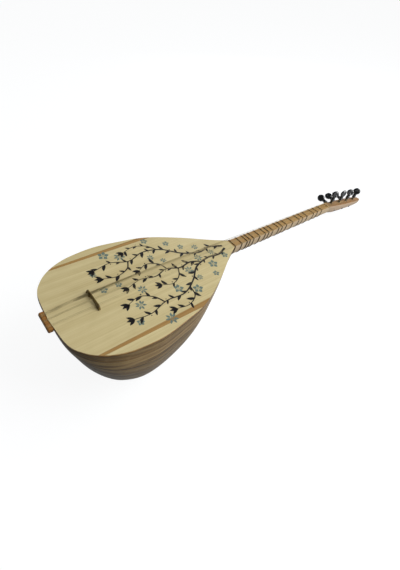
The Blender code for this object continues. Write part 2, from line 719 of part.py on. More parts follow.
def peg_route(index, diameter):
    """Where a string runs on the head and round its peg, in the head's frame."""
    names = {row[0]: row for row in peg_places()}
    radius = (PEG_RADIUS + GAP + diameter / 2) / math.cos(math.pi / WINDING_POINTS)
    if index < SIDE_STRINGS:
        _, centre, _, _ = names[f"peg_side_{index + 1}"]
        place = SIDE_STRING_BENDS[index]
        ahead = place + (centre[1] - place) * 0.3
        bends = [Vector((HEAD_CHAMFER * 0.8 - head_size(place)[0], place, diameter / 2 + GAP)),
                 Vector((-head_size(ahead)[0] - diameter / 2 - 2 * GAP, ahead, -HEAD_CHAMFER * 0.6))]
        out = (-math.cos(PEG_SIDE_RAKE), 0, math.sin(PEG_SIDE_RAKE))
        return bends + winding(centre, SIDE_WINDING_START, out, (out[2], 0, -out[0]), radius)
    _, centre, _, _ = names[f"peg_front_{index - SIDE_STRINGS + 1}"]
    return winding(centre, WINDING_START, (0, 0, 1), (1, 0, 0), radius)


def make_strings():
    neck_to_body = Matrix.Translation(NECK_FRAME.location) @ Matrix.Rotation(-NECK_TILT, 4, "X")
    to_neck = Matrix.Translation(HEAD_FRAME.location) @ Matrix.Rotation(-HEAD_TILT, 4, "X")
    outer = -GAP - HOLDER_REACH
    for index, (name, x_tail, x_bridge, x_nut, diameter) in enumerate(STRINGS):
        clear = HOLDER_EDGE * 0.8
        points = [(x_tail, outer + STRING_END, HOLDER_HOLE_Z), (x_tail, outer - clear, HOLDER_HOLE_Z),
                  (x_tail, outer - clear, -2.2 * HOLDER_EDGE), (x_tail, outer - 0.75 * clear, -clear / 2),
                  (x_tail, outer + 0.3 * HOLDER_EDGE, 0.65 * HOLDER_EDGE),
                  (x_tail, outer + 1.6 * HOLDER_EDGE, clear),
                  (x_bridge, BRIDGE_Y, STRING_OVER_BRIDGE)]
        wound = [to_neck @ point for point in peg_route(index, diameter)]
        over_nut = [Vector((x_nut, NUT_PLACE - GAP, STRING_OVER_NUT)),
                    Vector((x_nut, NUT_PLACE + NUT_THICKNESS + GAP, STRING_OVER_NUT))]
        points += [tuple(neck_to_body @ point) for point in over_nut + wound]
        tube(name, points, diameter, "steel")
        gap = least_gap(wound[-WINDING_TURNS * WINDING_POINTS - 1:], diameter, WINDING_POINTS - 1)
        print(f"least gap in the winding of {name}: {gap * 1000:.2f} mm")


def evaluated_points():
    """All points of the finished parts, in world space."""
    bpy.context.view_layer.update()
    graph = bpy.context.evaluated_depsgraph_get()
    clouds = []
    for part in PARTS.objects:
        if part.type not in {"MESH", "CURVE"}:
            continue
        solid = part.evaluated_get(graph)
        mesh = solid.to_mesh()
        flat = np.empty(len(mesh.vertices) * 3)
        mesh.vertices.foreach_get("co", flat)
        turn = np.array(part.matrix_world)
        clouds.append(flat.reshape(-1, 3) @ turn[:3, :3].T + turn[:3, 3])
        solid.to_mesh_clear()
    return np.vstack(clouds)


def lay_down():
    """Leans the instrument until the bowl and the head's tip touch one plane, then centres it on it."""
    points = evaluated_points()
    bowl = points[points[:, 1] < BOWL_LENGTH]
    head = points[points[:, 1] > NECK_START + NECK_LENGTH]

    def head_above(lean):
        return ((head[:, 2] * math.cos(lean) - head[:, 1] * math.sin(lean)).min()
                - (bowl[:, 2] * math.cos(lean) - bowl[:, 1] * math.sin(lean)).min())

    low, high = 0.0, math.radians(30)
    for _ in range(40):
        middle = (low + high) / 2
        low, high = (middle, high) if head_above(middle) > 0 else (low, middle)
    LYING.rotation_euler = (-low, 0, 0)
    turn = np.array(Matrix.Rotation(-low, 3, "X"))
    laid = points @ turn.T
    middle = (laid.min(axis=0) + laid.max(axis=0)) / 2
    LYING.location = (0, -middle[1], -laid[:, 2].min())
    print(f"lean {math.degrees(low):.3f} degrees, tail end at y {-middle[1]:.5f}")
    bpy.context.view_layer.update()


make_ribs()
make_blocks()
make_holder()
make_board()
make_neck()
make_head()
make_nut()
make_bridge()
make_frets()
make_pegs()
make_strings()
lay_down()
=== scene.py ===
"""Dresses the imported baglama: varnished woods, a bowl of fine ribs, line frets, wires and turned pegs.

Lengths are in metres. Most pieces are made in the instrument's own frame, with +Y from the tail to
the peg head, +X to the treble side and +Z up from the soundboard's face, and then laid over the solids.
"""
import json
import math
import random

import bmesh
import bpy
import numpy as np
from mathutils import Matrix, Vector


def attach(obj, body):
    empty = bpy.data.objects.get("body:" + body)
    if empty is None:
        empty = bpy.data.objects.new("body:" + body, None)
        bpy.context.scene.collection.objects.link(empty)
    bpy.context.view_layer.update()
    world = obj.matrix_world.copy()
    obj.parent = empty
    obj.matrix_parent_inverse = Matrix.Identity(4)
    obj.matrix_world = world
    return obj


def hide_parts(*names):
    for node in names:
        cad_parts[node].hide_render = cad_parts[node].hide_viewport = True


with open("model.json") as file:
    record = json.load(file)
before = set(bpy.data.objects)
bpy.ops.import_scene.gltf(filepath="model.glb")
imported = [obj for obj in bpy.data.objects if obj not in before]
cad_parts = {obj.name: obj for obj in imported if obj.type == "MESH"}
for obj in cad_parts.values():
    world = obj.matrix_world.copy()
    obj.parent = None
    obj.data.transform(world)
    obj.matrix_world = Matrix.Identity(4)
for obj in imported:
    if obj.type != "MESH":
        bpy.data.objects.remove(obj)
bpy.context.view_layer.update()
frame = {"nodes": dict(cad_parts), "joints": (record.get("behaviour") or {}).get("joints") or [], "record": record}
NODES = frame["nodes"]
MOUNTS = {mount["name"]: mount for mount in frame["record"]["mounts"]}
JOINTS = {joint["name"]: joint for joint in frame["joints"]}

# Places that tie the frames to the solids
HOLDER_MOUNT = (0.005, -0.0078, -0.0035)  # the record's mount on the string holder's end
NECK_START = 0.4229  # where the neck meets the bowl
FRONT_PEG_PLACE = (-0.0025, 0.025, 0.0)  # the first front peg, in the head's frame
GAP = 0.0003  # clearance between neighbouring pieces

# Soundboard: y, centre's distance from the middle and width of each strip, towards tail and neck
STRIPS = {
    "treble": ((0.050, 0.0986, 0.0050), (0.250, 0.1020, 0.0100)),
    "bass": ((0.050, 0.1012, 0.0050), (0.250, 0.1036, 0.0090)),
}
BOARD_THICKNESS = 0.0028
BOARD_STEPS = 240
BOARD_ROUNDING = 0.0006
FACE_LEAST = 0.95  # a face of the board whose normal points up less than this is its edge

# Bowl: distance from the tail, half width and depth below the rim
BOWL_LENGTH = 0.4226
BOWL_STATIONS = (
    (0.000, 0.0000, 0.000),
    (0.006, 0.0578, 0.018),
    (0.020, 0.0815, 0.047),
    (0.041, 0.0996, 0.088),
    (0.070, 0.1129, 0.132),
    (0.100, 0.1190, 0.167),
    (0.144, 0.1217, 0.197),
    (0.194, 0.1155, 0.204),
    (0.251, 0.1040, 0.180),
    (0.321, 0.0712, 0.135),
    (0.390, 0.0300, 0.075),
    (BOWL_LENGTH, 0.0130, 0.031),
)
BOWL_FULLNESS = 2.6  # exponent of the cross section, 2 is an ellipse
BOWL_WALL = 0.003
RIM = BOARD_THICKNESS + GAP
RIB_COUNT = 9
RIB_START = 0.02  # where a rib begins, as a share of the way from the tail
RIB_ROWS = 90
RIB_COLUMNS = 10
RIB_INSET = 0.0008  # at the belly, so that the smooth bowl stays within the faceted one
SEAM_WIDTH = 0.0013  # of the dark edge that each rib has along its joints
SOUND_HOLE_RADIUS = 0.009
SOUND_HOLE_Z = -0.060

# Neck and head: widths and depths at the body and at the nut, and how the sections are formed
NECK_WIDTHS = (0.0235, 0.0205)
NECK_DEPTHS = (0.0325, 0.0300)
NECK_CHAMFER = 0.0012
NECK_FULLNESS = 2.6
TENON_SIZE = (0.008, 0.064, 0.018)  # half of its length lies inside the neck
TENON_TOP = 0.007
SPLICE_SLOPE = 0.6
NUT_THICKNESS = 0.006
NUT_SEAT = 0.003
NUT_HEIGHT = 0.0024
NUT_ROUNDING = 0.0006
HEAD_STATIONS = (  # distance from the neck, half width and depth
    (0.040, 0.0124, 0.0285),
    (0.095, 0.0135, 0.0250),
    (0.150, 0.0132, 0.0215),
    (0.195, 0.0118, 0.0185),
    (0.218, 0.0104, 0.0151),
    (0.229, 0.0086, 0.0110),
    (0.234, 0.0058, 0.0070),
)
HEAD_STEPS = 60
HEAD_CHAMFER = 0.002
HEAD_FULLNESS = 4.0

# Frets: a fine line wound close round the neck, with a short knot across the winding
FRET_COUNT = 19
FRET_LINE = 0.0008
FRET_TURNS = 3
FRET_PITCH = 0.00092
FRET_START = 0.6  # where the line begins, as a share of the way round the neck
KNOT_PLACE = 3  # points of the neck's section from there to the knot
KNOT_RISE = 1.02  # height of the knot over the winding, in diameters of the line
KNOT_DIP = 0.2  # its height where its ends go under
KNOT_REACH = 0.9  # how far it reaches past the winding
KNOT_FLAT = 0.72  # share of its reach that lies on the winding

# Pegs: a taper in the wood, then radius and height above the wood at each bend of the turned stem
PEG_RADIUS = 0.0037
PEG_TAPER = 0.025  # loss of radius for each unit of length into the wood
PEG_TRIM = 0.0015  # how much shorter than its solid the shaft is, nearly flush with the wood
PEG_END_ROUNDING = 0.0006
PEG_PROFILE = (
    (PEG_RADIUS, 0.0081), (0.0040, 0.0090), (0.0049, 0.0095), (0.0058, 0.0107), (0.0058, 0.0121),
    (0.0051, 0.0129), (0.0049, 0.0137), (0.0056, 0.0147), (0.0057, 0.0163), (0.0050, 0.0179),
    (0.0050, 0.0215), (0.0048, 0.0245), (0.0000, 0.0255),
)
PADDLE_START = 0.0215
PADDLE_WIDTH = 0.0225
PADDLE_HEIGHT = 0.0226
PADDLE_THICKNESS = 0.0098
PADDLE_FULLNESS = 0.8  # power of the half thickness, where 1 is an ellipse
PADDLE_TAPER = 0.16  # loss of thickness from its middle to its top
HOLLOW_DEPTH = 0.0022  # of the hollow for the thumb on each side
HOLLOW_REACH = 0.72  # its radius, where the paddle's is 1
HOLLOW_DROP = 0.05  # how far its centre lies below the paddle's
HOLLOW_MOST = 0.75  # share of the half thickness that it may take
SIDE_PEG_RAKE = math.radians(10)
PEG_TURNS = {"peg_front": (60, 78, 48, 25), "peg_side": (15, 45, 60)}

# Strings: name, place across the string holder, bridge and nut, and diameter
STRINGS = (
    ("string_bass_1", -0.0135, -0.0178, -0.0090, 0.00060),
    ("string_bass_2", -0.0115, -0.0156, -0.0075, 0.00040),
    ("string_bass_3", -0.0095, -0.0135, -0.0060, 0.00040),
    ("string_middle_1", -0.0010, -0.0011, -0.0008, 0.00045),
    ("string_middle_2", 0.0010, 0.0011, 0.0008, 0.00045),
    ("string_treble_1", 0.0115, 0.0150, 0.0066, 0.00040),
    ("string_treble_2", 0.0135, 0.0173, 0.0082, 0.00040),
)
STRING_OVER_NUT = 0.0020
STRING_OVER_BRIDGE = 0.0084  # above the bridge's own foot
STRING_END = 0.004

# Bridge and string holder
BRIDGE_LENGTH = 0.0460
BRIDGE_HEIGHT = 0.0088
BRIDGE_FOOT = 0.0042
BRIDGE_TOP = 0.0018
BRIDGE_ARCH = (0.01035, 0.0026)  # half length and height of the arch between its feet
BRIDGE_END = ((1, 0), (1, 0.30), (0.985, 0.5), (0.945, 0.78), (0.90, 0.93), (0.86, 1))
BRIDGE_ROUNDING = 0.00035
BRIDGE_SHORT = 0.002  # edges across it that are shorter are rounded too
HOLDER_WIDTH = 0.041
HOLDER_REACH = 0.0075
HOLDER_HEIGHT = 0.0065
HOLDER_EDGE = 0.0012
HOLDER_HOLE_RADIUS = 0.0007
HOLDER_HOLE_Z = -0.0035

# Painted decoration on the soundboard: scrolling stems with leaves, and open rosettes between them
PAINT_LOW = 0.00002
PAINT_HIGH = 0.00008
OVERLAP_LOW = 0.00003  # leaves, berries and rings lie over stems and petals
OVERLAP_HIGH = 0.000088
STEMS = (  # points (x, y) from root to tip, and widths there
    (((0.0045, 0.398), (0.0130, 0.372), (0.0100, 0.340), (0.0200, 0.300), (0.0460, 0.268), (0.0640, 0.232),
      (0.0620, 0.190), (0.0720, 0.150), (0.0680, 0.118)), 0.0052, 0.0012),
    (((-0.0040, 0.398), (-0.0150, 0.366), (-0.0120, 0.334), (-0.0270, 0.296), (-0.0560, 0.262),
      (-0.0660, 0.222), (-0.0560, 0.184), (-0.0680, 0.148), (-0.0620, 0.112)), 0.0052, 0.0012),
    (((0.0120, 0.318), (0.0030, 0.296), (0.0060, 0.266), (-0.0040, 0.238), (0.0030, 0.208),
      (-0.0040, 0.176), (0.0030, 0.146)), 0.0042, 0.0011),
    (((0.0560, 0.252), (0.0780, 0.246), (0.0900, 0.222), (0.0860, 0.196)), 0.0030, 0.0010),
    (((-0.0590, 0.254), (-0.0780, 0.240), (-0.0880, 0.214), (-0.0820, 0.186)), 0.0030, 0.0010),
    (((0.0625, 0.186), (0.0440, 0.176), (0.0300, 0.152), (0.0360, 0.126)), 0.0030, 0.0010),
    (((-0.0565, 0.182), (-0.0400, 0.170), (-0.0310, 0.142), (-0.0380, 0.116)), 0.0030, 0.0010),
    (((0.0050, 0.262), (0.0230, 0.250), (0.0340, 0.228), (0.0270, 0.206)), 0.0028, 0.0010),
    (((-0.0040, 0.240), (-0.0230, 0.232), (-0.0330, 0.208), (-0.0250, 0.188)), 0.0028, 0.0010),
)
STEM_STEPS = 70
LEAF_SPACING = 0.0150
LEAF_LENGTH = 0.0150
LEAF_WIDTH = 0.0056
LEAF_SIZES = (0.7, 1.2)
LEAF_ANGLES = (32, 62)  # degrees from the stem
LEAF_BEND = 0.3
TIP_LEAVES = (-0.6, 0, 0.6)  # how the leaves at a stem's tip are turned
LEAVES_PER_BERRY = 3
BERRY_TURN = 1.9  # from its leaf, in radians
BERRY_REACH = 0.0042
BERRY_RADII = (0.0009, 0.0015)
BERRY_SIDES = 14
ROSETTE_COUNT = 24
ROSETTE_TRIES = 4000
ROSETTE_SPACING = 0.026
ROSETTE_AREA = (0.100, 0.385)
ROSETTE_MARGIN = 0.012  # from its centre to the soundboard's edge
ROSETTE_RADII = (0.0070, 0.0125)
ROSETTE_CLEARANCE = 0.0015  # to the stems
PETAL_WIDTHS = {7: 0.36, 5: 0.60}  # for each count of petals, as a share of the radius
PETAL_START = 0.24
PETAL_TWIST = 0.3
EYE_RING = (0.16, 0.0008)  # radius as a share of the rosette's, and width
PETAL_RING = (0.62, 0.0007)  # only on rosettes of five petals

# Colours as seen on a screen, and how the woods and finishes vary
RIB_COLOURS = ((180, 151, 102), (146, 116, 72), (46, 36, 20))
RIB_TONES = (1.0, 0.86, 1.06, 0.92, 0.82, 1.02, 0.88, 1.06, 0.95)
RIB_SHIFT = 0.31  # between the grain of neighbouring ribs
LINE_RUN = 2.5  # changes of a grain line along it, for each metre
BAND_RUN = 1.2
LINE_SHARE = 0.5
FIGURE_SCALE = (55.0, 26.0, 55.0)
FIGURE_SHARE = 0.12
FACE_FADE = (-0.0016, -0.0004)  # heights between which the face's colour gives way to the sides' paler tint, a painted sheen
ROUGHNESS_SPREAD = 0.12

# Stage
FLOOR_REACH = 12.0
FLOOR_DROP = 0.0005
FLOOR_GLOW = 0.9
FLOOR_COLOUR = (0.16, 0.17, 0.18)
FLOOR_MIRRORED = 0.22  # how much of the floor's glow shows in reflections
WORLD_SPAN = (-0.8, 0.6)  # directions along Y between which the world's light rises
WORLD_LIGHT = (0.01, 0.62)  # towards the tail and towards the head
WORLD_MIRRORED = 0.08
LAMPS = (  # name, place, aim, power and width
    ("key", (1.0, 0.8, 1.8), (0.05, 0.1, 0.1), 30, 1.5),
    ("fill", (1.3, 1.2, 0.5), (0.05, 0.0, 0.1), 13, 0.9),
    ("rim", (-1.1, 1.1, 0.6), (0, 0.4, 0.05), 3, 0.4),
    ("glint", (1.1, 0.1, 0.2), (0, 0.45, 0.05), 0.8, 0.3),
)

# Picture
IMAGE_WIDTH, IMAGE_HEIGHT = 400, 570
FOCAL_PIXELS = 377.9
PRINCIPAL_POINT = (200.9, 199.2)  # pixel that the camera's axis meets
CAMERA_PLACE = (0.38296, -0.17009, 0.52346)
CAMERA_AIM = (-0.55337, 0.64816, -0.52314)
CAMERA_RIGHT = (0.64082, 0.73252, 0.22971)
SENSOR_WIDTH = 36


def frame_matrix(along, up, point, place=(0, 0, 0)):
    """The frame with these Y and Z axes in which the world's point lies at a given place."""
    y, z = Vector(along).normalized(), Vector(up).normalized()
    matrix = Matrix((y.cross(z), y, z)).transposed().to_4x4()
    matrix.translation = Vector(point) - matrix.to_3x3() @ Vector(place)
    return matrix


BOARD_UP = Vector(MOUNTS["soundboard_face"]["axis"])
INSTRUMENT = frame_matrix(-Vector(MOUNTS["holder_face"]["axis"]), BOARD_UP,
                          MOUNTS["holder_face"]["pos_m"], HOLDER_MOUNT)
NECK_ALONG = Vector(JOINTS["fret_01_slide"]["axis"])
NECK = frame_matrix(NECK_ALONG, Vector((1, 0, 0)).cross(NECK_ALONG), INSTRUMENT @ Vector((0, NECK_START, 0)))
HEAD_UP = Vector(JOINTS["peg_front_1_turn"]["axis"])
HEAD = frame_matrix(HEAD_UP.cross(Vector((1, 0, 0))), HEAD_UP, JOINTS["peg_front_1_turn"]["pos_m"],
                    FRONT_PEG_PLACE)


def node_points(node, matrix):
    """A solid's points in one of the frames."""
    inverse = matrix.inverted()
    return np.array([inverse @ v.co for v in NODES[node].data.vertices])


NUT_PLACE = float(node_points("nut", NECK)[:, 1].min())
NECK_LENGTH = (NECK.inverted() @ HEAD).translation.y - GAP


class Shader:
    """The node tree of a material or of the world, written as nested calls."""

    def __init__(self, name, kind=bpy.data.materials, main="Principled BSDF"):
        self.block = kind.new(name)
        self.block.use_nodes = True
        self.nodes = self.block.node_tree.nodes
        self.main = self.nodes[main]

    def add(self, kind, *values, settings=None, **inputs):
        """A new node, whose sockets are filled in their order or by their names."""
        node = self.nodes.new(f"ShaderNode{kind}")
        for key, value in (settings or {}).items():
            setattr(node, key, value)
        for key, value in [*enumerate(values), *inputs.items()]:
            self.put(node, key, value)
        return node

    def put(self, node, key, value):
        socket = node.inputs[key.replace("_", " ") if isinstance(key, str) else key]
        if isinstance(value, bpy.types.NodeSocket):
            self.block.node_tree.links.new(value, socket)
        elif socket.type == "RGBA":
            socket.default_value = (*value, 1)
        else:
            socket.default_value = value

    def set(self, **inputs):
        for key, value in inputs.items():
            self.put(self.main, key, value)

    def math(self, operation, a, b):
        return self.add("Math", a, b, settings={"operation": operation}).outputs[0]

    def mix(self, share, low, high):
        node = self.add("Mix", share, settings={"data_type": "RGBA"})
        self.put(node, 6, low)
        self.put(node, 7, high)
        return node.outputs[2]

    def range(self, value, low, high, to_low=0.0, to_high=1.0):
        return self.add("MapRange", value, low, high, to_low, to_high).outputs["Result"]

    def noise(self, place, scale, detail=3.0, roughness=0.55):
        """Noise at a place whose axes are scaled, in bumps for each unit of length."""
        moved = self.add("VectorMath", place, scale, settings={"operation": "MULTIPLY"}).outputs[0]
        return self.add("TexNoise", moved, Scale=1.0, Detail=detail, Roughness=roughness).outputs["Fac"]

    def place(self, matrix=INSTRUMENT):
        """The shaded point in a frame of the object, from the mesh's own coordinates."""
        turned = matrix.inverted()
        point = self.add("TexCoord").outputs["Object"]
        node = self.add("Mapping", point, Rotation=turned.to_euler("XYZ"), Location=turned.translation)
        return node.outputs["Vector"]

    def bump(self, height, distance):
        node = self.add("Bump", Distance=distance, Strength=1.0, Height=height)
        self.set(Normal=node.outputs["Normal"])


def srgb(red, green, blue):
    """A linear colour from the numbers seen on a screen."""
    return tuple(v / 12.92 if v <= 0.04045 else ((v + 0.055) / 1.055) ** 2.4
                 for v in (red / 255, green / 255, blue / 255))


def wood(name, pale, mid, dark, line_width, band_width, gloss=0.35, coat=0.15, matrix=INSTRUMENT,
         sides=None):
    """Varnished wood with its grain along Y in a frame: fine lines, broad bands and faint cross figure.

    Where sides are given, a paler tint for them, a painted sheen, begins just below the face at z = 0.
    """
    shader = Shader(name)
    place = shader.place(matrix)
    pale, mid, dark = srgb(*pale), srgb(*mid), srgb(*dark)
    lines = shader.noise(place, (1 / line_width, LINE_RUN, 1 / line_width), 4.0, 0.6)
    bands = shader.noise(place, (1 / band_width, BAND_RUN, 1 / band_width), 2.0)
    figure = shader.noise(place, FIGURE_SCALE, 2.0)
    colour = shader.mix(shader.range(bands, 0.35, 0.65), pale, mid)
    fine = shader.math("MULTIPLY", shader.range(lines, 0.45, 0.75), LINE_SHARE)
    colour = shader.mix(fine, colour, dark)
    sheen = shader.math("MULTIPLY", shader.range(figure, 0.4, 0.7), FIGURE_SHARE)
    colour = shader.mix(sheen, colour, dark)
    # Painted sheen: the sides below the face are made paler, with the grain kept in them
    if sides:
        height = shader.add("SeparateXYZ", place).outputs["Z"]
        below = shader.range(height, *FACE_FADE, 1.0, 0.0)
        side_sheen = shader.mix(shader.range(lines, 0.4, 0.75, 0.0, 0.5), srgb(*sides), mid)
        colour = shader.mix(below, colour, side_sheen)
    shader.set(Base_Color=colour, Roughness=shader.range(lines, 0.3, 0.7, gloss, gloss + ROUGHNESS_SPREAD),
               Coat_Weight=coat, Coat_Roughness=0.08, Specular_IOR_Level=0.35)
    shader.bump(lines, 0.00006)
    return shader.block


def plain(name, colour, roughness, metallic=0.0, coat=0.0, ior=1.5):
    """A smooth finish, a little uneven."""
    shader = Shader(name)
    place = shader.place()
    spots = shader.noise(place, (180.0, 180.0, 180.0), 3.0)
    colour = srgb(*colour)
    darker = tuple(c * 0.7 for c in colour)
    shader.set(Base_Color=shader.mix(shader.range(spots, 0.3, 0.7), darker, colour),
               Roughness=shader.range(spots, 0.3, 0.7, roughness, roughness + 0.1),
               Metallic=metallic, Coat_Weight=coat, IOR=ior)
    return shader.block


def paint(name, colour):
    """Flat varnished paint, a little uneven."""
    shader = Shader(name)
    place = shader.place()
    uneven = shader.noise(place, (260.0, 260.0, 260.0), 3.0)
    colour = srgb(*colour)
    thin = tuple(c * 1.5 for c in colour)
    shader.set(Base_Color=shader.mix(shader.range(uneven, 0.4, 0.75), colour, thin), Roughness=0.35)
    return shader.block


def rib_wood(rib):
    """Varnished walnut whose streaks follow the rib, each rib a little different."""
    shader = Shader(f"rib_{rib + 1}_walnut")
    coordinates = shader.add("UVMap", settings={"uv_map": "grain"}).outputs["UV"]
    lines = shader.noise(coordinates, (560.0, 5.0, 1.0), 4.0, 0.6)
    bands = shader.noise(coordinates, (150.0, 2.2, 1.0), 3.0, 0.5)
    broad = shader.noise(coordinates, (26.0, 1.5, 1.0), 2.0)
    figure = shader.noise(coordinates, (60.0, 45.0, 1.0), 3.0)
    pale, mid, dark = (tuple(RIB_TONES[rib] * c for c in srgb(*colour)) for colour in RIB_COLOURS)
    colour = shader.mix(shader.range(bands, 0.42, 0.58), pale, mid)
    colour = shader.mix(shader.range(broad, 0.45, 0.65, 0.0, 0.35), colour, dark)
    colour = shader.mix(shader.range(lines, 0.47, 0.61, 0.0, 0.85), colour, dark)
    colour = shader.mix(shader.range(figure, 0.5, 0.75, 0.0, 0.25), colour, pale)
    seam = shader.add("Attribute", settings={"attribute_name": "seam"}).outputs["Fac"]
    colour = shader.mix(shader.range(seam, 0.0, 1.0, 0.0, 0.85), colour, tuple(0.35 * c for c in dark))
    shader.set(Base_Color=colour, Roughness=shader.range(lines, 0.3, 0.7, 0.22, 0.36), Coat_Weight=0.0,
               Specular_IOR_Level=0.2)
    shader.bump(lines, 0.00005)
    return shader.block


SPRUCE = wood("spruce", (211, 197, 149), (201, 185, 136), (164, 144, 94), 0.0011, 0.016)
STRIP = wood("strip_wood", (176, 140, 82), (158, 121, 66), (118, 82, 40), 0.0008, 0.004)
EDGE = wood("board_edge", (186, 140, 72), (160, 114, 52), (112, 74, 30), 0.0008, 0.004, 0.3, 0.3)
INNER = wood("inner_wood", (190, 160, 116), (176, 142, 98), (140, 106, 66), 0.0010, 0.010, 0.6, 0.0)
DARK = wood("dark_wood", (168, 118, 58), (140, 96, 44), (84, 56, 24), 0.0007, 0.004)
BRIDGE_WOOD = wood("bridge_wood", (118, 98, 48), (94, 76, 34), (54, 42, 14), 0.0007, 0.004)
# The neck's paler sides are painted sheen
NECK_WOOD = wood("neck_wood", (182, 146, 92), (164, 128, 78), (116, 82, 42), 0.0008, 0.006,
                 matrix=NECK, sides=(202, 180, 146))
# The head's paler sides are painted sheen
HEAD_WOOD = wood("head_wood", (162, 124, 82), (145, 107, 69), (98, 68, 40), 0.0008, 0.006,
                 matrix=HEAD, sides=(190, 167, 140))
BONE = plain("bone", (196, 166, 116), 0.35)
BLACK = plain("black_wood", (8, 14, 20), 0.06, coat=1.0, ior=1.8)
NYLON = plain("nylon", (58, 38, 16), 0.35)
STEEL = plain("steel", (196, 180, 132), 0.45, metallic=0.55)
INK = paint("ink", (20, 17, 20))
TEAL = paint("teal", (94, 112, 104))


def placed(name, data):
    """A new object in the scene."""
    item = bpy.data.objects.new(name, data)
    bpy.context.scene.collection.objects.link(item)
    return item


def opened(*meshes):
    """Meshes as one, open to edits."""
    bm = bmesh.new()
    for mesh in meshes:
        bm.from_mesh(mesh)
    return bm


def mesh_of(bm):
    bmesh.ops.recalc_face_normals(bm, faces=bm.faces)
    mesh = bpy.data.meshes.new("mesh")
    bm.to_mesh(mesh)
    bm.free()
    return mesh


def round_edges(bm, edges, radius, segments):
    bmesh.ops.bevel(bm, geom=edges, offset=radius, segments=segments, affect="EDGES", clamp_overlap=True)


def settled(item, *helpers):
    """The mesh of an object with its modifiers applied. It and its helpers are removed."""
    bpy.context.view_layer.update()
    graph = bpy.context.evaluated_depsgraph_get()
    mesh = bpy.data.meshes.new_from_object(item.evaluated_get(graph))
    for used in (item, *helpers):
        bpy.data.objects.remove(used)
    return mesh


def combined(mesh, others, operation="DIFFERENCE"):
    """A mesh with other meshes cut from it or joined to it."""
    body = placed("body", mesh)
    helpers = [placed("helper", other) for other in others]
    for helper in helpers:
        modifier = body.modifiers.new("combine", "BOOLEAN")
        modifier.operation, modifier.solver, modifier.object = operation, "EXACT", helper
    return settled(body, *helpers)


def rod_mesh(radius, start, end, sides, end_radius=None):
    """A round rod or cone from one point to another."""
    start, end = Vector(start), Vector(end)
    bm = bmesh.new()
    bmesh.ops.create_cone(bm, cap_ends=True, segments=sides, radius1=radius,
                          radius2=radius if end_radius is None else end_radius, depth=(end - start).length)
    turn = (end - start).to_track_quat("Z", "Y").to_matrix().to_4x4()
    bm.transform(Matrix.Translation((start + end) / 2) @ turn)
    return mesh_of(bm)


def box_mesh(size, centre, rounding=0.0):
    bm = bmesh.new()
    bmesh.ops.create_cube(bm, size=1.0)
    bmesh.ops.scale(bm, vec=size, verts=bm.verts)
    if rounding:
        bmesh.ops.bevel(bm, geom=bm.edges[:], offset=rounding, segments=3, affect="EDGES")
    bmesh.ops.translate(bm, vec=centre, verts=bm.verts)
    return mesh_of(bm)


def solids_mesh(*solids):
    """Closed solids in one mesh, each through loops of as many points and capped at both ends."""
    bm = bmesh.new()
    for loops in solids:
        rings = [[bm.verts.new(point) for point in loop] for loop in loops]
        for low, high in zip(rings, rings[1:]):
            for i in range(len(low)):
                j = (i + 1) % len(low)
                bm.faces.new((low[i], low[j], high[j], high[i]))
        bm.faces.new(rings[0][::-1])
        bm.faces.new(rings[-1])
    return mesh_of(bm)


def flat_shapes(outlines, low, high):
    """Thin plates with the given outlines of (x, y) points, side by side in one mesh."""
    return solids_mesh(*[[[(x, y, z) for x, y in outline] for z in (low, high)] for outline in outlines])


def line_mesh(points, diameter):
    """A round line through points, with filled ends, as a closed mesh."""
    curve = bpy.data.curves.new("line", "CURVE")
    curve.dimensions = "3D"
    curve.bevel_depth, curve.bevel_resolution, curve.use_fill_caps = diameter / 2, 3, True
    spline = curve.splines.new("POLY")
    spline.points.add(len(points) - 1)
    for point, place in zip(spline.points, points):
        point.co = (*place, 1)
    bm = opened(settled(placed("line", curve)))
    bmesh.ops.remove_doubles(bm, verts=bm.verts, dist=0.000005)
    return mesh_of(bm)


def add_piece(name, mesh, matrix, material, slot, *replaced, body="instrument", smooth=30):
    """Lays a mesh made in one of the frames over the solids, as a piece that rides on a body."""
    mesh.name = name
    mesh.transform(matrix)
    mesh.materials.clear()
    mesh.materials.append(material)
    mesh.shade_smooth()
    mesh.set_sharp_from_angle(angle=math.radians(smooth))
    piece = placed(name, mesh)
    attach(piece, body)
    if replaced:
        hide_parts(*replaced)
    return piece


def smooth_line(points, share):
    """The point at a share of the way along a smooth line through points, in any number of axes."""
    points = np.array(points, float)
    steps = np.sqrt(np.linalg.norm(np.diff(points, axis=0), axis=1))
    knots = np.concatenate([[0], np.cumsum(steps)])
    ahead = np.vstack([points[1:], 2 * points[-1] - points[-2]])
    behind = np.vstack([2 * points[0] - points[1], points[:-1]])
    after = np.append(steps, steps[-1])[:, None]
    before = np.insert(steps, 0, steps[0])[:, None]
    slopes = ((ahead - points) / after * before + (points - behind) / before * after) / (before + after)
    at = np.atleast_1d(share) * knots[-1]
    i = np.clip(np.searchsorted(knots, at, side="right") - 1, 0, len(steps) - 1)
    width = steps[i][:, None]
    s = ((at - knots[i]) / steps[i])[:, None]
    return ((2 * s**3 - 3 * s**2 + 1) * points[i] + (s**3 - 2 * s**2 + s) * width * slopes[i]
            + (3 * s**2 - 2 * s**3) * points[i + 1] + (s**3 - s**2) * width * slopes[i + 1])


def bowl_arc(station, steps=361):
    """The bowl's cross section as points, treble edge to bass edge, and its length up to each."""
    _, half_width, depth = station
    angle = np.linspace(0, math.pi, steps)
    power = 2 / BOWL_FULLNESS
    x = half_width * np.sign(np.cos(angle)) * np.abs(np.cos(angle)) ** power
    z = -RIM - depth * np.abs(np.sin(angle)) ** power
    return x, z, np.concatenate([[0], np.cumsum(np.hypot(np.diff(x), np.diff(z)))])


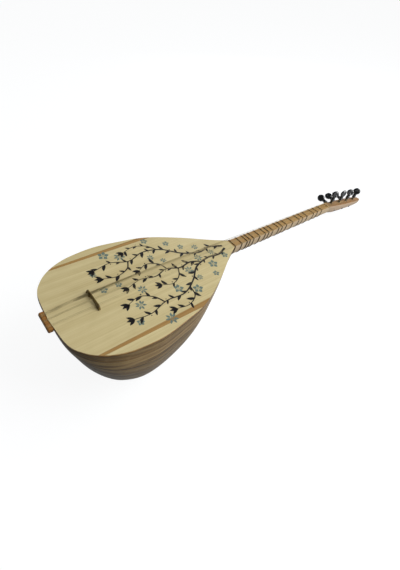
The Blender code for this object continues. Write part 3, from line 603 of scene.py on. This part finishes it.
def bowl_rows(shares, fractions):
    """Points on the bowl: a row for each share along it, at fractions of the arc across it."""
    rows = []
    stations = smooth_line(BOWL_STATIONS, np.clip(shares, 0, 1))
    for station, row in zip(stations, fractions):
        x, z, arc = bowl_arc(station)
        at = np.clip(row, 0, 1) * arc[-1]
        rows.append(np.stack([np.interp(at, arc, x), np.full(len(at), station[0]),
                              np.interp(at, arc, z)], -1))
    return np.array(rows)


def bowl_grid(shares, fractions, inset):
    """Points inset from the bowl's surface. The rim and the neck's end stay flat."""
    step = 0.004
    along = bowl_rows(shares + step, fractions) - bowl_rows(shares - step, fractions)
    across = bowl_rows(shares, fractions + step) - bowl_rows(shares, fractions - step)
    normal = np.cross(along, across)
    normal[fractions <= 0] *= (1, 1, 0)
    normal[fractions >= 1] *= (1, 1, 0)
    normal[shares >= 1] *= (1, 0, 1)
    return bowl_rows(shares, fractions) + inset * normal / np.linalg.norm(normal, axis=2, keepdims=True)


def shell_mesh(outer, inner):
    """A closed plate between two grids of points that have the same rows and columns."""
    rows, columns = outer.shape[:2]
    points = np.concatenate([outer.reshape(-1, 3), inner.reshape(-1, 3)])
    skin = np.arange(rows * columns).reshape(rows, columns)
    lining = skin + rows * columns
    faces = []
    for i in range(rows - 1):
        for j in range(columns - 1):
            faces.append((skin[i, j], skin[i + 1, j], skin[i + 1, j + 1], skin[i, j + 1]))
            faces.append((lining[i, j], lining[i, j + 1], lining[i + 1, j + 1], lining[i + 1, j]))
        for j in (0, columns - 1):
            faces.append((skin[i, j], lining[i, j], lining[i + 1, j], skin[i + 1, j]))
    for j in range(columns - 1):
        for i in (0, rows - 1):
            faces.append((skin[i, j], skin[i, j + 1], lining[i, j + 1], lining[i, j]))
    mesh = bpy.data.meshes.new("shell")
    mesh.from_pydata(points.tolist(), [], [tuple(int(v) for v in face) for face in faces])
    return mesh


def rib_mesh(rib):
    """One rib as a closed shell, with its width and length in metres as UV and its seams marked."""
    shares = np.linspace(RIB_START, 1, RIB_ROWS + 1)
    stations = smooth_line(BOWL_STATIONS, shares)
    fractions, widths = [], []
    for station in stations:
        length = bowl_arc(station)[2][-1]
        low = rib / RIB_COUNT + (GAP / 2 / length if rib else 0)
        high = (rib + 1) / RIB_COUNT - (GAP / 2 / length if rib < RIB_COUNT - 1 else 0)
        seam = min(SEAM_WIDTH / length, (high - low) / 6)
        across = np.linspace(low + seam, high - seam, RIB_COLUMNS + 1)
        fractions.append(np.concatenate([[low], across, [high]]))
        widths.append((fractions[-1] - (low + high) / 2) * length)
    fractions, widths = np.array(fractions), np.array(widths)
    outer = bowl_grid(shares, fractions, RIB_INSET * np.sin(math.pi * fractions)[..., None])
    mesh = shell_mesh(outer, bowl_grid(shares, fractions, BOWL_WALL))

    lengths = np.concatenate([[0], np.cumsum(np.linalg.norm(np.diff(stations, axis=0), axis=1))])
    grain = np.stack([widths + RIB_SHIFT * rib, np.broadcast_to(lengths[:, None], widths.shape)], -1)
    corners = np.zeros(len(mesh.loops), np.int32)
    mesh.loops.foreach_get("vertex_index", corners)
    layer = mesh.uv_layers.new(name="grain")
    layer.data.foreach_set("uv", np.tile(grain.reshape(-1, 2), (2, 1))[corners].astype(np.float32).ravel())
    seam = np.zeros(widths.shape, np.float32)
    seam[:, 0] = seam[:, -1] = 1
    mesh.attributes.new("seam", "FLOAT", "POINT").data.foreach_set("value", np.tile(seam.ravel(), 2))
    return mesh_of(opened(mesh))


def sound_hole():
    return rod_mesh(SOUND_HOLE_RADIUS, (0, -0.01, SOUND_HOLE_Z), (0, BOWL_LENGTH / 4, SOUND_HOLE_Z), 64)


def make_ribs():
    for rib in range(RIB_COUNT):
        name = f"rib_{rib + 1}"
        mesh = rib_mesh(rib)
        if rib == RIB_COUNT // 2:
            mesh = combined(mesh, [sound_hole()])
        add_piece(name, mesh, INSTRUMENT, rib_wood(rib), "walnut", f"bowl_{name}", smooth=40)


def make_blocks():
    """The tail block, with the sound hole carried on into the bowl, and the hidden neck block's wood."""
    mesh = NODES["tail_block"].data.copy()
    mesh.transform(INSTRUMENT.inverted())
    bm = opened(mesh)
    bmesh.ops.remove_doubles(bm, verts=bm.verts, dist=0.00001)
    mesh = combined(mesh_of(bm), [sound_hole()])
    add_piece("tail_block_bored", mesh, INSTRUMENT, INNER, "inner_wood", "tail_block")
    materials = NODES["neck_block"].data.materials
    materials.clear()
    materials.append(INNER)


def strip_edges(side, y):
    """The inner and outer edge of one side's strip at a distance from the tail."""
    (y0, x0, w0), (y1, x1, w1) = STRIPS[side]
    share = (y - y0) / (y1 - y0)
    centre, half = x0 + (x1 - x0) * share, (w0 + (w1 - w0) * share) / 2
    return centre - half, centre + half


def board_outline():
    """The soundboard's whole outline as (x, y) points, which is the bowl's edge."""
    half = smooth_line(BOWL_STATIONS, np.linspace(0, 1, BOARD_STEPS))[:, 1::-1]
    return np.concatenate([half, half[:0:-1] * (-1, 1)])


def clipped(outline, side, line, sign):
    """The part of an outline on one side of a strip's inner (0) or outer (1) line, with half a gap left."""
    flip = 1 if side == "treble" else -1
    outside = [sign * (x * flip - strip_edges(side, y)[line]) + GAP / 2 for x, y in outline]
    kept = []
    for i, point in enumerate(outline):
        j = (i + 1) % len(outline)
        if outside[i] <= 0:
            kept.append(point)
        if (outside[i] <= 0) != (outside[j] <= 0):
            kept.append(point + (outline[j] - point) * outside[i] / (outside[i] - outside[j]))
    return np.array(kept)


def on_seam(point):
    """Whether a point of the soundboard lies on one of a strip's edges."""
    edges = strip_edges("treble" if point.x > 0 else "bass", point.y)
    return min(abs(abs(point.x) - edge) for edge in edges) < GAP


def board_piece(name, node, outline, material, slot):
    """A piece of the soundboard, with the edge over the bowl rounded and the seams left sharp."""
    bm = opened(flat_shapes([outline], -BOARD_THICKNESS, 0))
    outer = [edge for edge in bm.edges if all(abs(v.co.z) < GAP for v in edge.verts)
             and not all(on_seam(v.co) for v in edge.verts)]
    round_edges(bm, outer, BOARD_ROUNDING, 3)
    piece = add_piece(name, mesh_of(bm), INSTRUMENT, material, slot, node, smooth=25)
    piece.data.materials.append(EDGE)
    for face in piece.data.polygons:
        if BOARD_UP.dot(face.normal) < FACE_LEAST:
            face.material_index = 1


def make_board():
    """The centre panel, the strip let in on each side of it and the wing beyond each strip."""
    whole = board_outline()
    centre = whole
    for side in STRIPS:
        centre = clipped(centre, side, 0, 1)
        strip = clipped(clipped(whole, side, 0, -1), side, 1, 1)
        wing = clipped(whole, side, 1, -1)
        board_piece(f"board_wing_{side}", f"wing_{side}", wing, SPRUCE, "spruce")
        board_piece(f"board_strip_{side}", f"strip_{side}", strip, STRIP, "strip_wood")
    board_piece("board_centre", "soundboard_centre", centre, SPRUCE, "spruce")


def ribbon_shapes(ribbons, low, high):
    """Thin plates along centre lines, each a pair of points and widths."""
    solids = []
    for points, widths in ribbons:
        along = np.gradient(points, axis=0)
        along /= np.linalg.norm(along, axis=1, keepdims=True)
        side = np.stack([-along[:, 1], along[:, 0]], -1) * np.array(widths)[:, None] / 2
        solids.append([[(*p, z) for p, z in ((a, low), (b, low), (b, high), (a, high))]
                       for a, b in zip(points + side, points - side)])
    return solids_mesh(*solids)


def leaf_outline(root, angle, length, width, bend):
    """A pointed leaf from its root, curving a little to one side."""
    share = np.linspace(0, 1, 13)
    half = width / 2 * np.sin(math.pi * share ** 0.85) ** 0.9
    sag = bend * length * share * (1 - share)
    left = np.stack([share * length, sag + half], -1)
    right = np.stack([share * length, sag - half], -1)[-2:0:-1]
    turn = np.array([[math.cos(angle), math.sin(angle)], [-math.sin(angle), math.cos(angle)]])
    return np.concatenate([left, right]) @ turn + np.array(root)


def ring_ribbon(centre, radius, width, steps):
    """A circle's points and widths, for a ribbon that all but closes."""
    angle = np.linspace(0, 2 * math.pi * (1 - 0.002), steps)
    points = np.stack([np.cos(angle), np.sin(angle)], -1) * radius + np.array(centre)
    return points, [width] * steps


def board_reach(y):
    """How far the soundboard reaches from the middle at a distance from the tail."""
    line = smooth_line(BOWL_STATIONS, np.linspace(0, 1, 200))
    return float(np.interp(y, line[:, 0], line[:, 1]))


def add_paint(name, mesh, material):
    add_piece(name, mesh, INSTRUMENT, material, "black_wood", smooth=20)


def paint_foliage(draw, stems):
    """The stems with their leaves, and a berry opposite every third leaf, in black."""
    leaves, berries = [], []
    for line, _ in stems:
        travelled = np.concatenate([[0], np.cumsum(np.linalg.norm(np.diff(line, axis=0), axis=1))])
        for i in range(1, int(travelled[-1] / LEAF_SPACING) + 1):
            at = np.interp(i * LEAF_SPACING, travelled, np.arange(len(line)))
            k = min(int(at), len(line) - 2)
            ahead = line[k + 1] - line[k]
            side = 1 if i % 2 else -1
            angle = math.atan2(ahead[1], ahead[0]) + side * math.radians(draw.uniform(*LEAF_ANGLES))
            size = draw.uniform(*LEAF_SIZES)
            leaves.append(leaf_outline(line[k], angle, LEAF_LENGTH * size, LEAF_WIDTH * size,
                                       -LEAF_BEND * side))
            if i % LEAVES_PER_BERRY == 0:
                turn = angle - side * BERRY_TURN
                away = np.array([math.cos(turn), math.sin(turn)])
                berries.append((line[k] + away * BERRY_REACH, draw.uniform(*BERRY_RADII)))
        end = line[-1] - line[-2]
        angle = math.atan2(end[1], end[0])
        leaves += [leaf_outline(line[-1], angle + turn, LEAF_LENGTH, LEAF_WIDTH, 0) for turn in TIP_LEAVES]
    circle = np.linspace(0, 2 * math.pi, BERRY_SIDES + 1)[:-1]
    dots = [[(x + r * math.cos(a), y + r * math.sin(a)) for a in circle] for (x, y), r in berries]
    add_paint("painted_stems", ribbon_shapes(stems, PAINT_LOW, PAINT_HIGH), INK)
    add_paint("painted_leaves", flat_shapes(leaves, OVERLAP_LOW, OVERLAP_HIGH), INK)
    add_paint("painted_berries", flat_shapes(dots, OVERLAP_LOW, OVERLAP_HIGH), INK)


def rosette_places(draw, stems):
    """Centre, radius and petals' turns of each rosette, clear of the stems and of each other."""
    points = np.concatenate([line for line, _ in stems])
    places = []
    for _ in range(ROSETTE_TRIES):
        if len(places) == ROSETTE_COUNT:
            break
        y = draw.uniform(*ROSETTE_AREA)
        x = draw.uniform(-1, 1) * (board_reach(y) - ROSETTE_MARGIN)
        radius = draw.uniform(*ROSETTE_RADII)
        clear = all(math.hypot(x - a, y - b) > ROSETTE_SPACING for a, b, _, _ in places)
        if clear and np.hypot(*(points - (x, y)).T).min() > radius * 0.9 + ROSETTE_CLEARANCE:
            count = 5 if len(places) % 2 else 7
            turns = [2 * math.pi * i / count + draw.uniform(0, PETAL_TWIST) for i in range(count)]
            places.append((x, y, radius, turns))
    return places


def paint_rosettes(places):
    """The rosettes of five or seven petals, in grey-teal."""
    petals, rings = [], []
    for x, y, radius, turns in places:
        width = radius * PETAL_WIDTHS[len(turns)]
        for angle in turns:
            root = (x + PETAL_START * radius * math.cos(angle), y + PETAL_START * radius * math.sin(angle))
            petals.append(leaf_outline(root, angle, (1 - PETAL_START) * radius, width, 0))
        rings.append(ring_ribbon((x, y), EYE_RING[0] * radius, EYE_RING[1], 24))
        if len(turns) == 5:
            rings.append(ring_ribbon((x, y), PETAL_RING[0] * radius, PETAL_RING[1], 40))
    add_paint("painted_petals", flat_shapes(petals, PAINT_LOW, PAINT_HIGH), TEAL)
    add_paint("painted_rings", ribbon_shapes(rings, OVERLAP_LOW, OVERLAP_HIGH), TEAL)


def make_decoration():
    """The painting, with every chance drawn in one order from one seed."""
    draw = random.Random(7)
    stems = [(smooth_line(points, np.linspace(0, 1, STEM_STEPS)), np.linspace(thick, thin, STEM_STEPS))
             for points, thick, thin in STEMS]
    paint_foliage(draw, stems)
    paint_rosettes(rosette_places(draw, stems))


def peg_mesh(end):
    """A turned peg: a tapered shaft, a bare neck for the string, a thick stem and a hollowed paddle."""
    end += PEG_TRIM
    shaft = PEG_RADIUS + PEG_TAPER * end
    profile = [(0.0, end), (shaft - PEG_END_ROUNDING, end), (shaft, end + PEG_END_ROUNDING),
               (PEG_RADIUS, 0.0), *PEG_PROFILE]
    bm = bmesh.new()
    verts = [bm.verts.new((r, 0, z)) for r, z in profile]
    edges = [bm.edges.new(pair) for pair in zip(verts, verts[1:])]
    bmesh.ops.spin(bm, geom=verts + edges, cent=(0, 0, 0), axis=(0, 0, 1), dvec=(0, 0, 0),
                   angle=2 * math.pi, steps=40, use_merge=True)
    bmesh.ops.remove_doubles(bm, verts=bm.verts, dist=0.00002)
    return combined(mesh_of(bm), [paddle_mesh()], "UNION")


def paddle_mesh():
    """A flat round paddle with a soft hollow for the thumb in each side."""
    bm = bmesh.new()
    bmesh.ops.create_uvsphere(bm, u_segments=64, v_segments=40, radius=1.0)
    for vert in bm.verts:
        x, y, z = vert.co
        thick = PADDLE_THICKNESS / 2 * abs(y) ** PADDLE_FULLNESS * (1 - PADDLE_TAPER * z)
        reach = math.hypot(x, z + HOLLOW_DROP) / HOLLOW_REACH
        hollow = min(HOLLOW_DEPTH * max(0.0, 1 - reach ** 2) ** 1.5, thick * HOLLOW_MOST)
        vert.co = (x * PADDLE_WIDTH / 2, math.copysign(thick - hollow, y),
                   (z + 1) * PADDLE_HEIGHT / 2 + PADDLE_START)
    return mesh_of(bm)


def peg_frames():
    """Each peg's node, the frame on its own axis and the height in it at which its shaft ends.

    +Z points out of the wood from where the peg enters, and X across its paddle.
    """
    frames = []
    for kind, turns in PEG_TURNS.items():
        lay = Matrix.Rotation(SIDE_PEG_RAKE - math.pi / 2, 4, "Y") if kind == "peg_side" else Matrix()
        for number, turn in enumerate(turns, 1):
            node = f"{kind}_{number}"
            place = HEAD.inverted() @ Vector(JOINTS[f"{node}_turn"]["pos_m"])
            matrix = HEAD @ Matrix.Translation(place) @ lay @ Matrix.Rotation(math.radians(turn), 4, "Z")
            frames.append((node, matrix, float(node_points(node, matrix)[:, 2].min())))
    return frames


def make_pegs():
    for node, matrix, end in peg_frames():
        add_piece(f"turned_{node}", peg_mesh(end), matrix, BLACK, "black_wood", node, body=f"{node}_body",
                  smooth=50)


def d_loop(half_width, depth, corner, fullness, steps=40):
    """A neck's cross section as (x, z) points: flat in front with rounded corners, round behind."""
    turn = np.linspace(0, math.pi / 2, 6)
    edge = np.stack([half_width - corner * (1 - np.sin(turn)), -corner * (1 - np.cos(turn))], -1)
    angle = np.linspace(0, math.pi, steps + 1)[1:-1]
    power = 2 / fullness
    belly = np.stack([half_width * np.sign(np.cos(angle)) * np.abs(np.cos(angle)) ** power,
                      -corner - (depth - corner) * np.sin(angle) ** power], -1)
    return np.concatenate([edge, belly, edge[::-1] * (-1, 1)])


def grown(loop, distance):
    """A clockwise loop of (x, z) points moved outwards by a distance."""
    edge = np.roll(loop, -1, axis=0) - loop
    edge /= np.linalg.norm(edge, axis=1, keepdims=True)
    out = np.stack([-edge[:, 1], edge[:, 0]], -1)
    before = np.roll(out, 1, axis=0)
    return loop + distance * (out + before) / (1 + (out * before).sum(1, keepdims=True))


def neck_loop(y, distance=0.0):
    """The neck's cross section at a distance along it, or a loop at some distance round it."""
    share = y / NUT_PLACE
    width, depth = (low + (high - low) * share for low, high in (NECK_WIDTHS, NECK_DEPTHS))
    return grown(d_loop(width / 2, depth, NECK_CHAMFER, NECK_FULLNESS), distance)


def make_neck():
    """The neck, with its tenon, the slot for the nut and the sloped end that the head is spliced to."""
    lean = BOARD_UP.angle(NECK.to_3x3().col[2])
    loops = [[(x, -z * math.tan(lean), z) for x, z in neck_loop(0)],
             [(x, NUT_PLACE, z) for x, z in neck_loop(NUT_PLACE)],
             [(x, NECK_LENGTH - z * SPLICE_SLOPE, z) for x, z in neck_loop(NECK_LENGTH)]]
    slot = box_mesh((NECK_WIDTHS[0] * 2, NUT_THICKNESS + 2 * GAP, 2 * (NUT_SEAT + GAP)),
                    (0, NUT_PLACE + NUT_THICKNESS / 2, 0))
    tenon = box_mesh(TENON_SIZE, (0, 0, -TENON_TOP - TENON_SIZE[2] / 2))
    mesh = combined(combined(solids_mesh(loops), [slot]), [tenon], "UNION")
    add_piece("neck_shaped", mesh, NECK, NECK_WOOD, "neck_wood", "neck")


def make_head():
    """The peg head, which grows out of its splice in one smooth taper, with its seven bores."""
    tilt = HEAD.to_3x3().col[1].angle(NECK.to_3x3().col[1])
    slope = math.tan(tilt + math.atan(SPLICE_SLOPE))
    loops = [[(x, -z * slope, z) for x, z in neck_loop(NECK_LENGTH)]]
    for place, half_width, depth in smooth_line(HEAD_STATIONS, np.linspace(0, 1, HEAD_STEPS)):
        loops.append([(x, place, z) for x, z in d_loop(half_width, depth, HEAD_CHAMFER, HEAD_FULLNESS)])
    bores = []
    for node, matrix, end in peg_frames():
        low, high = end - 0.001, 0.003
        bore = rod_mesh(PEG_RADIUS + PEG_TAPER * low + GAP, (0, 0, low), (0, 0, high), 32, PEG_RADIUS + GAP)
        bore.transform(HEAD.inverted() @ matrix)
        bores.append(bore)
    add_piece("head_shaped", combined(solids_mesh(loops), bores), HEAD, HEAD_WOOD, "neck_wood", "peg_head")


def string_slots(y, z, length, column):
    """Round slots for the strings, as rods along Y."""
    low, high = y - length / 2, y + length / 2
    return [rod_mesh(row[4] / 2 + GAP, (row[column], low, z), (row[column], high, z), 16) for row in STRINGS]


def make_nut():
    y = NUT_PLACE + NUT_THICKNESS / 2
    size = (NECK_WIDTHS[1] - 2 * NECK_CHAMFER, NUT_THICKNESS, NUT_HEIGHT + NUT_SEAT)
    nut = box_mesh(size, (0, y, (NUT_HEIGHT - NUT_SEAT) / 2), NUT_ROUNDING)
    mesh = combined(nut, string_slots(y, STRING_OVER_NUT, 2 * NUT_THICKNESS, 3))
    add_piece("nut_slotted", mesh, NECK, BONE, "bone", "nut")


def make_bridge():
    """The bridge: two feet joined by a low arch, ends drawn in, and a rounded top edge with slots."""
    under = [(-BRIDGE_LENGTH / 2, 0)]
    under += [(BRIDGE_ARCH[0] * math.cos(a), BRIDGE_ARCH[1] * math.sin(a) ** 0.7)
              for a in np.linspace(math.pi, 0, 17)]
    end = [(x * BRIDGE_LENGTH / 2, z * BRIDGE_HEIGHT) for x, z in BRIDGE_END]
    outline = under + end + [(-x, z) for x, z in end[:0:-1]]

    def depth_at(z):
        return (BRIDGE_FOOT + (BRIDGE_TOP - BRIDGE_FOOT) * (z / BRIDGE_HEIGHT) ** 0.8) / 2

    bm = opened(solids_mesh([[(x, side * depth_at(max(z, 0)), z) for x, z in outline] for side in (-1, 1)]))
    rim = [e for e in bm.edges if abs(e.verts[0].co.y - e.verts[1].co.y) < BRIDGE_SHORT
           and all(v.co.z > 0.001 for v in e.verts)]
    round_edges(bm, rim, BRIDGE_ROUNDING, 2)
    points = node_points("bridge", INSTRUMENT)
    foot = Vector((0, (points[:, 1].min() + points[:, 1].max()) / 2, points[:, 2].min()))
    mesh = combined(mesh_of(bm), string_slots(0, STRING_OVER_BRIDGE, 3 * BRIDGE_FOOT, 2))
    matrix = INSTRUMENT @ Matrix.Translation(foot)
    add_piece("bridge_slotted", mesh, matrix, BRIDGE_WOOD, "dark_wood", "bridge", body="bridge_body")


def make_holder():
    """The string holder, whose inner side follows the soundboard's end, with a hole for each string."""
    outer = -GAP - HOLDER_REACH
    line = smooth_line(BOWL_STATIONS, np.linspace(0, 0.14, 60))[:, :2]
    across = np.linspace(0, HOLDER_WIDTH / 2, 16)
    half = [(x, float(np.interp(x, line[:, 1], line[:, 0])) - GAP) for x in across]
    half.append((HOLDER_WIDTH / 2, outer))
    outline = half + [(-x, y) for x, y in reversed(half[1:])]
    bm = opened(flat_shapes([outline], -HOLDER_HEIGHT, 0))
    edges = [e for e in bm.edges if e.calc_face_angle(0) > math.radians(45)]
    round_edges(bm, edges, HOLDER_EDGE, 4)
    holes = [rod_mesh(HOLDER_HOLE_RADIUS, (row[1], outer - 0.001, HOLDER_HOLE_Z),
                      (row[1], outer + STRING_END + GAP, HOLDER_HOLE_Z), 16) for row in STRINGS]
    add_piece("holder_drilled", combined(mesh_of(bm), holes), INSTRUMENT, DARK, "dark_wood", "string_holder")


def fret_mesh(y):
    """One fret: a line wound close round the neck, with a short knot over the turns behind the bass side."""
    distance = GAP + FRET_LINE / 2
    count = len(neck_loop(y))
    start = int(count * FRET_START)
    points = []
    for i in range(FRET_TURNS * count + 1):
        ahead = FRET_PITCH * (i / count - FRET_TURNS / 2)
        x, z = neck_loop(y + ahead, distance)[(i + start) % count]
        points.append((x, y + ahead, z))
    over, under = (neck_loop(y, distance + FRET_LINE * height)[(start + KNOT_PLACE) % count]
                   for height in (KNOT_RISE, KNOT_DIP))
    reach = FRET_PITCH * FRET_TURNS / 2 + FRET_LINE * KNOT_REACH
    flat = reach * KNOT_FLAT
    bend = [(under, -reach), (over, -flat), (over, 0.0), (over, flat), (under, reach)]
    route = smooth_line([(p[0], y + ahead, p[1]) for p, ahead in bend], np.linspace(0, 1, 17))
    return mesh_of(opened(line_mesh(points, FRET_LINE), line_mesh(route, FRET_LINE)))


def make_frets():
    for number in range(1, FRET_COUNT + 1):
        node = f"fret_{number:02d}"
        along = node_points(node, NECK)[:, 1]
        mesh = fret_mesh((along.min() + along.max()) / 2)
        add_piece(f"wound_{node}", mesh, NECK, NYLON, "nylon", node, body=f"{node}_body", smooth=60)


def make_strings():
    """The strings, which follow their solids with rounded sections and bends."""
    for row in STRINGS:
        name = f"wire_{row[0]}"
        wire = placed(name, NODES[row[0]].data.copy())
        weld = wire.modifiers.new("joined_ends", "WELD")
        weld.merge_threshold = 0.00001
        finer = wire.modifiers.new("rounded", "SUBSURF")
        finer.levels = finer.render_levels = 1
        add_piece(name, settled(wire), Matrix(), STEEL, "steel", row[0], smooth=60)


def make_floor():
    """A pale floor that keeps the object's shadow. The camera and reflections see it glow."""
    data = bpy.data.meshes.new("floor")
    corners = [(x * FLOOR_REACH, y * FLOOR_REACH, 0) for x, y in ((-1, -1), (1, -1), (1, 1), (-1, 1))]
    data.from_pydata(corners, [], [(0, 1, 2, 3)])
    floor = placed("floor", data)
    floor.location.z = -FLOOR_DROP
    shader = Shader("floor")
    glow = shader.add("Emission", Color=(1, 1, 1), Strength=FLOOR_GLOW).outputs[0]
    diffuse = shader.add("BsdfDiffuse", Color=FLOOR_COLOUR).outputs[0]
    seen = shader.add("AddShader", glow, diffuse).outputs[0]
    path = shader.add("LightPath")
    mirrored = shader.math("MULTIPLY", path.outputs["Is Glossy Ray"], FLOOR_MIRRORED)
    rays = shader.math("MAXIMUM", path.outputs["Is Camera Ray"], mirrored)
    chosen = shader.add("MixShader", rays, diffuse, seen)
    shader.put(shader.nodes["Material Output"], "Surface", chosen.outputs[0])
    floor.data.materials.append(shader.block)


def light_world():
    """A white surround that lights the object softly, more from the head's side than from the tail's."""
    shader = Shader("studio", bpy.data.worlds, "Background")
    bpy.context.scene.world = shader.block
    direction = shader.add("TexCoord").outputs["Generated"]
    along = shader.add("SeparateXYZ", direction).outputs["Y"]
    shader.set(Color=(1, 1, 1), Strength=shader.range(along, *WORLD_SPAN, *WORLD_LIGHT))
    path = shader.add("LightPath")
    last = shader.main.outputs[0]
    for rays, strength in (("Is Glossy Ray", WORLD_MIRRORED), ("Is Camera Ray", 1.0)):
        other = shader.add("Background", Color=(1, 1, 1), Strength=strength)
        last = shader.add("MixShader", path.outputs[rays], last, other.outputs[0]).outputs[0]
    shader.put(shader.nodes["World Output"], "Surface", last)


def add_lamps():
    for name, place, aim, energy, width in LAMPS:
        data = bpy.data.lights.new(name, "AREA")
        data.energy, data.size = energy, width
        lamp = placed(name, data)
        lamp.location = place
        lamp.rotation_euler = (Vector(aim) - Vector(place)).to_track_quat("-Z", "Y").to_euler()


def add_camera():
    """The camera, whose place and directions are in the instrument's frame."""
    data = bpy.data.cameras.new("camera")
    camera = placed("camera", data)
    aim, right = Vector(CAMERA_AIM).normalized(), Vector(CAMERA_RIGHT).normalized()
    matrix = Matrix((right, right.cross(aim).normalized(), -aim)).transposed().to_4x4()
    matrix.translation = CAMERA_PLACE
    camera.matrix_world = INSTRUMENT @ matrix
    data.sensor_width = SENSOR_WIDTH
    data.lens = FOCAL_PIXELS / IMAGE_HEIGHT * SENSOR_WIDTH
    data.shift_x = (IMAGE_WIDTH / 2 - PRINCIPAL_POINT[0]) / IMAGE_HEIGHT
    data.shift_y = (PRINCIPAL_POINT[1] - IMAGE_HEIGHT / 2) / IMAGE_HEIGHT
    data.clip_start, data.clip_end = 0.01, 100
    bpy.context.scene.camera = camera
    bpy.context.scene.view_settings.view_transform = "Standard"


make_ribs()
make_blocks()
make_board()
make_decoration()
make_pegs()
make_neck()
make_head()
make_nut()
make_bridge()
make_holder()
make_frets()
make_strings()
make_floor()
light_world()
add_lamps()
add_camera()
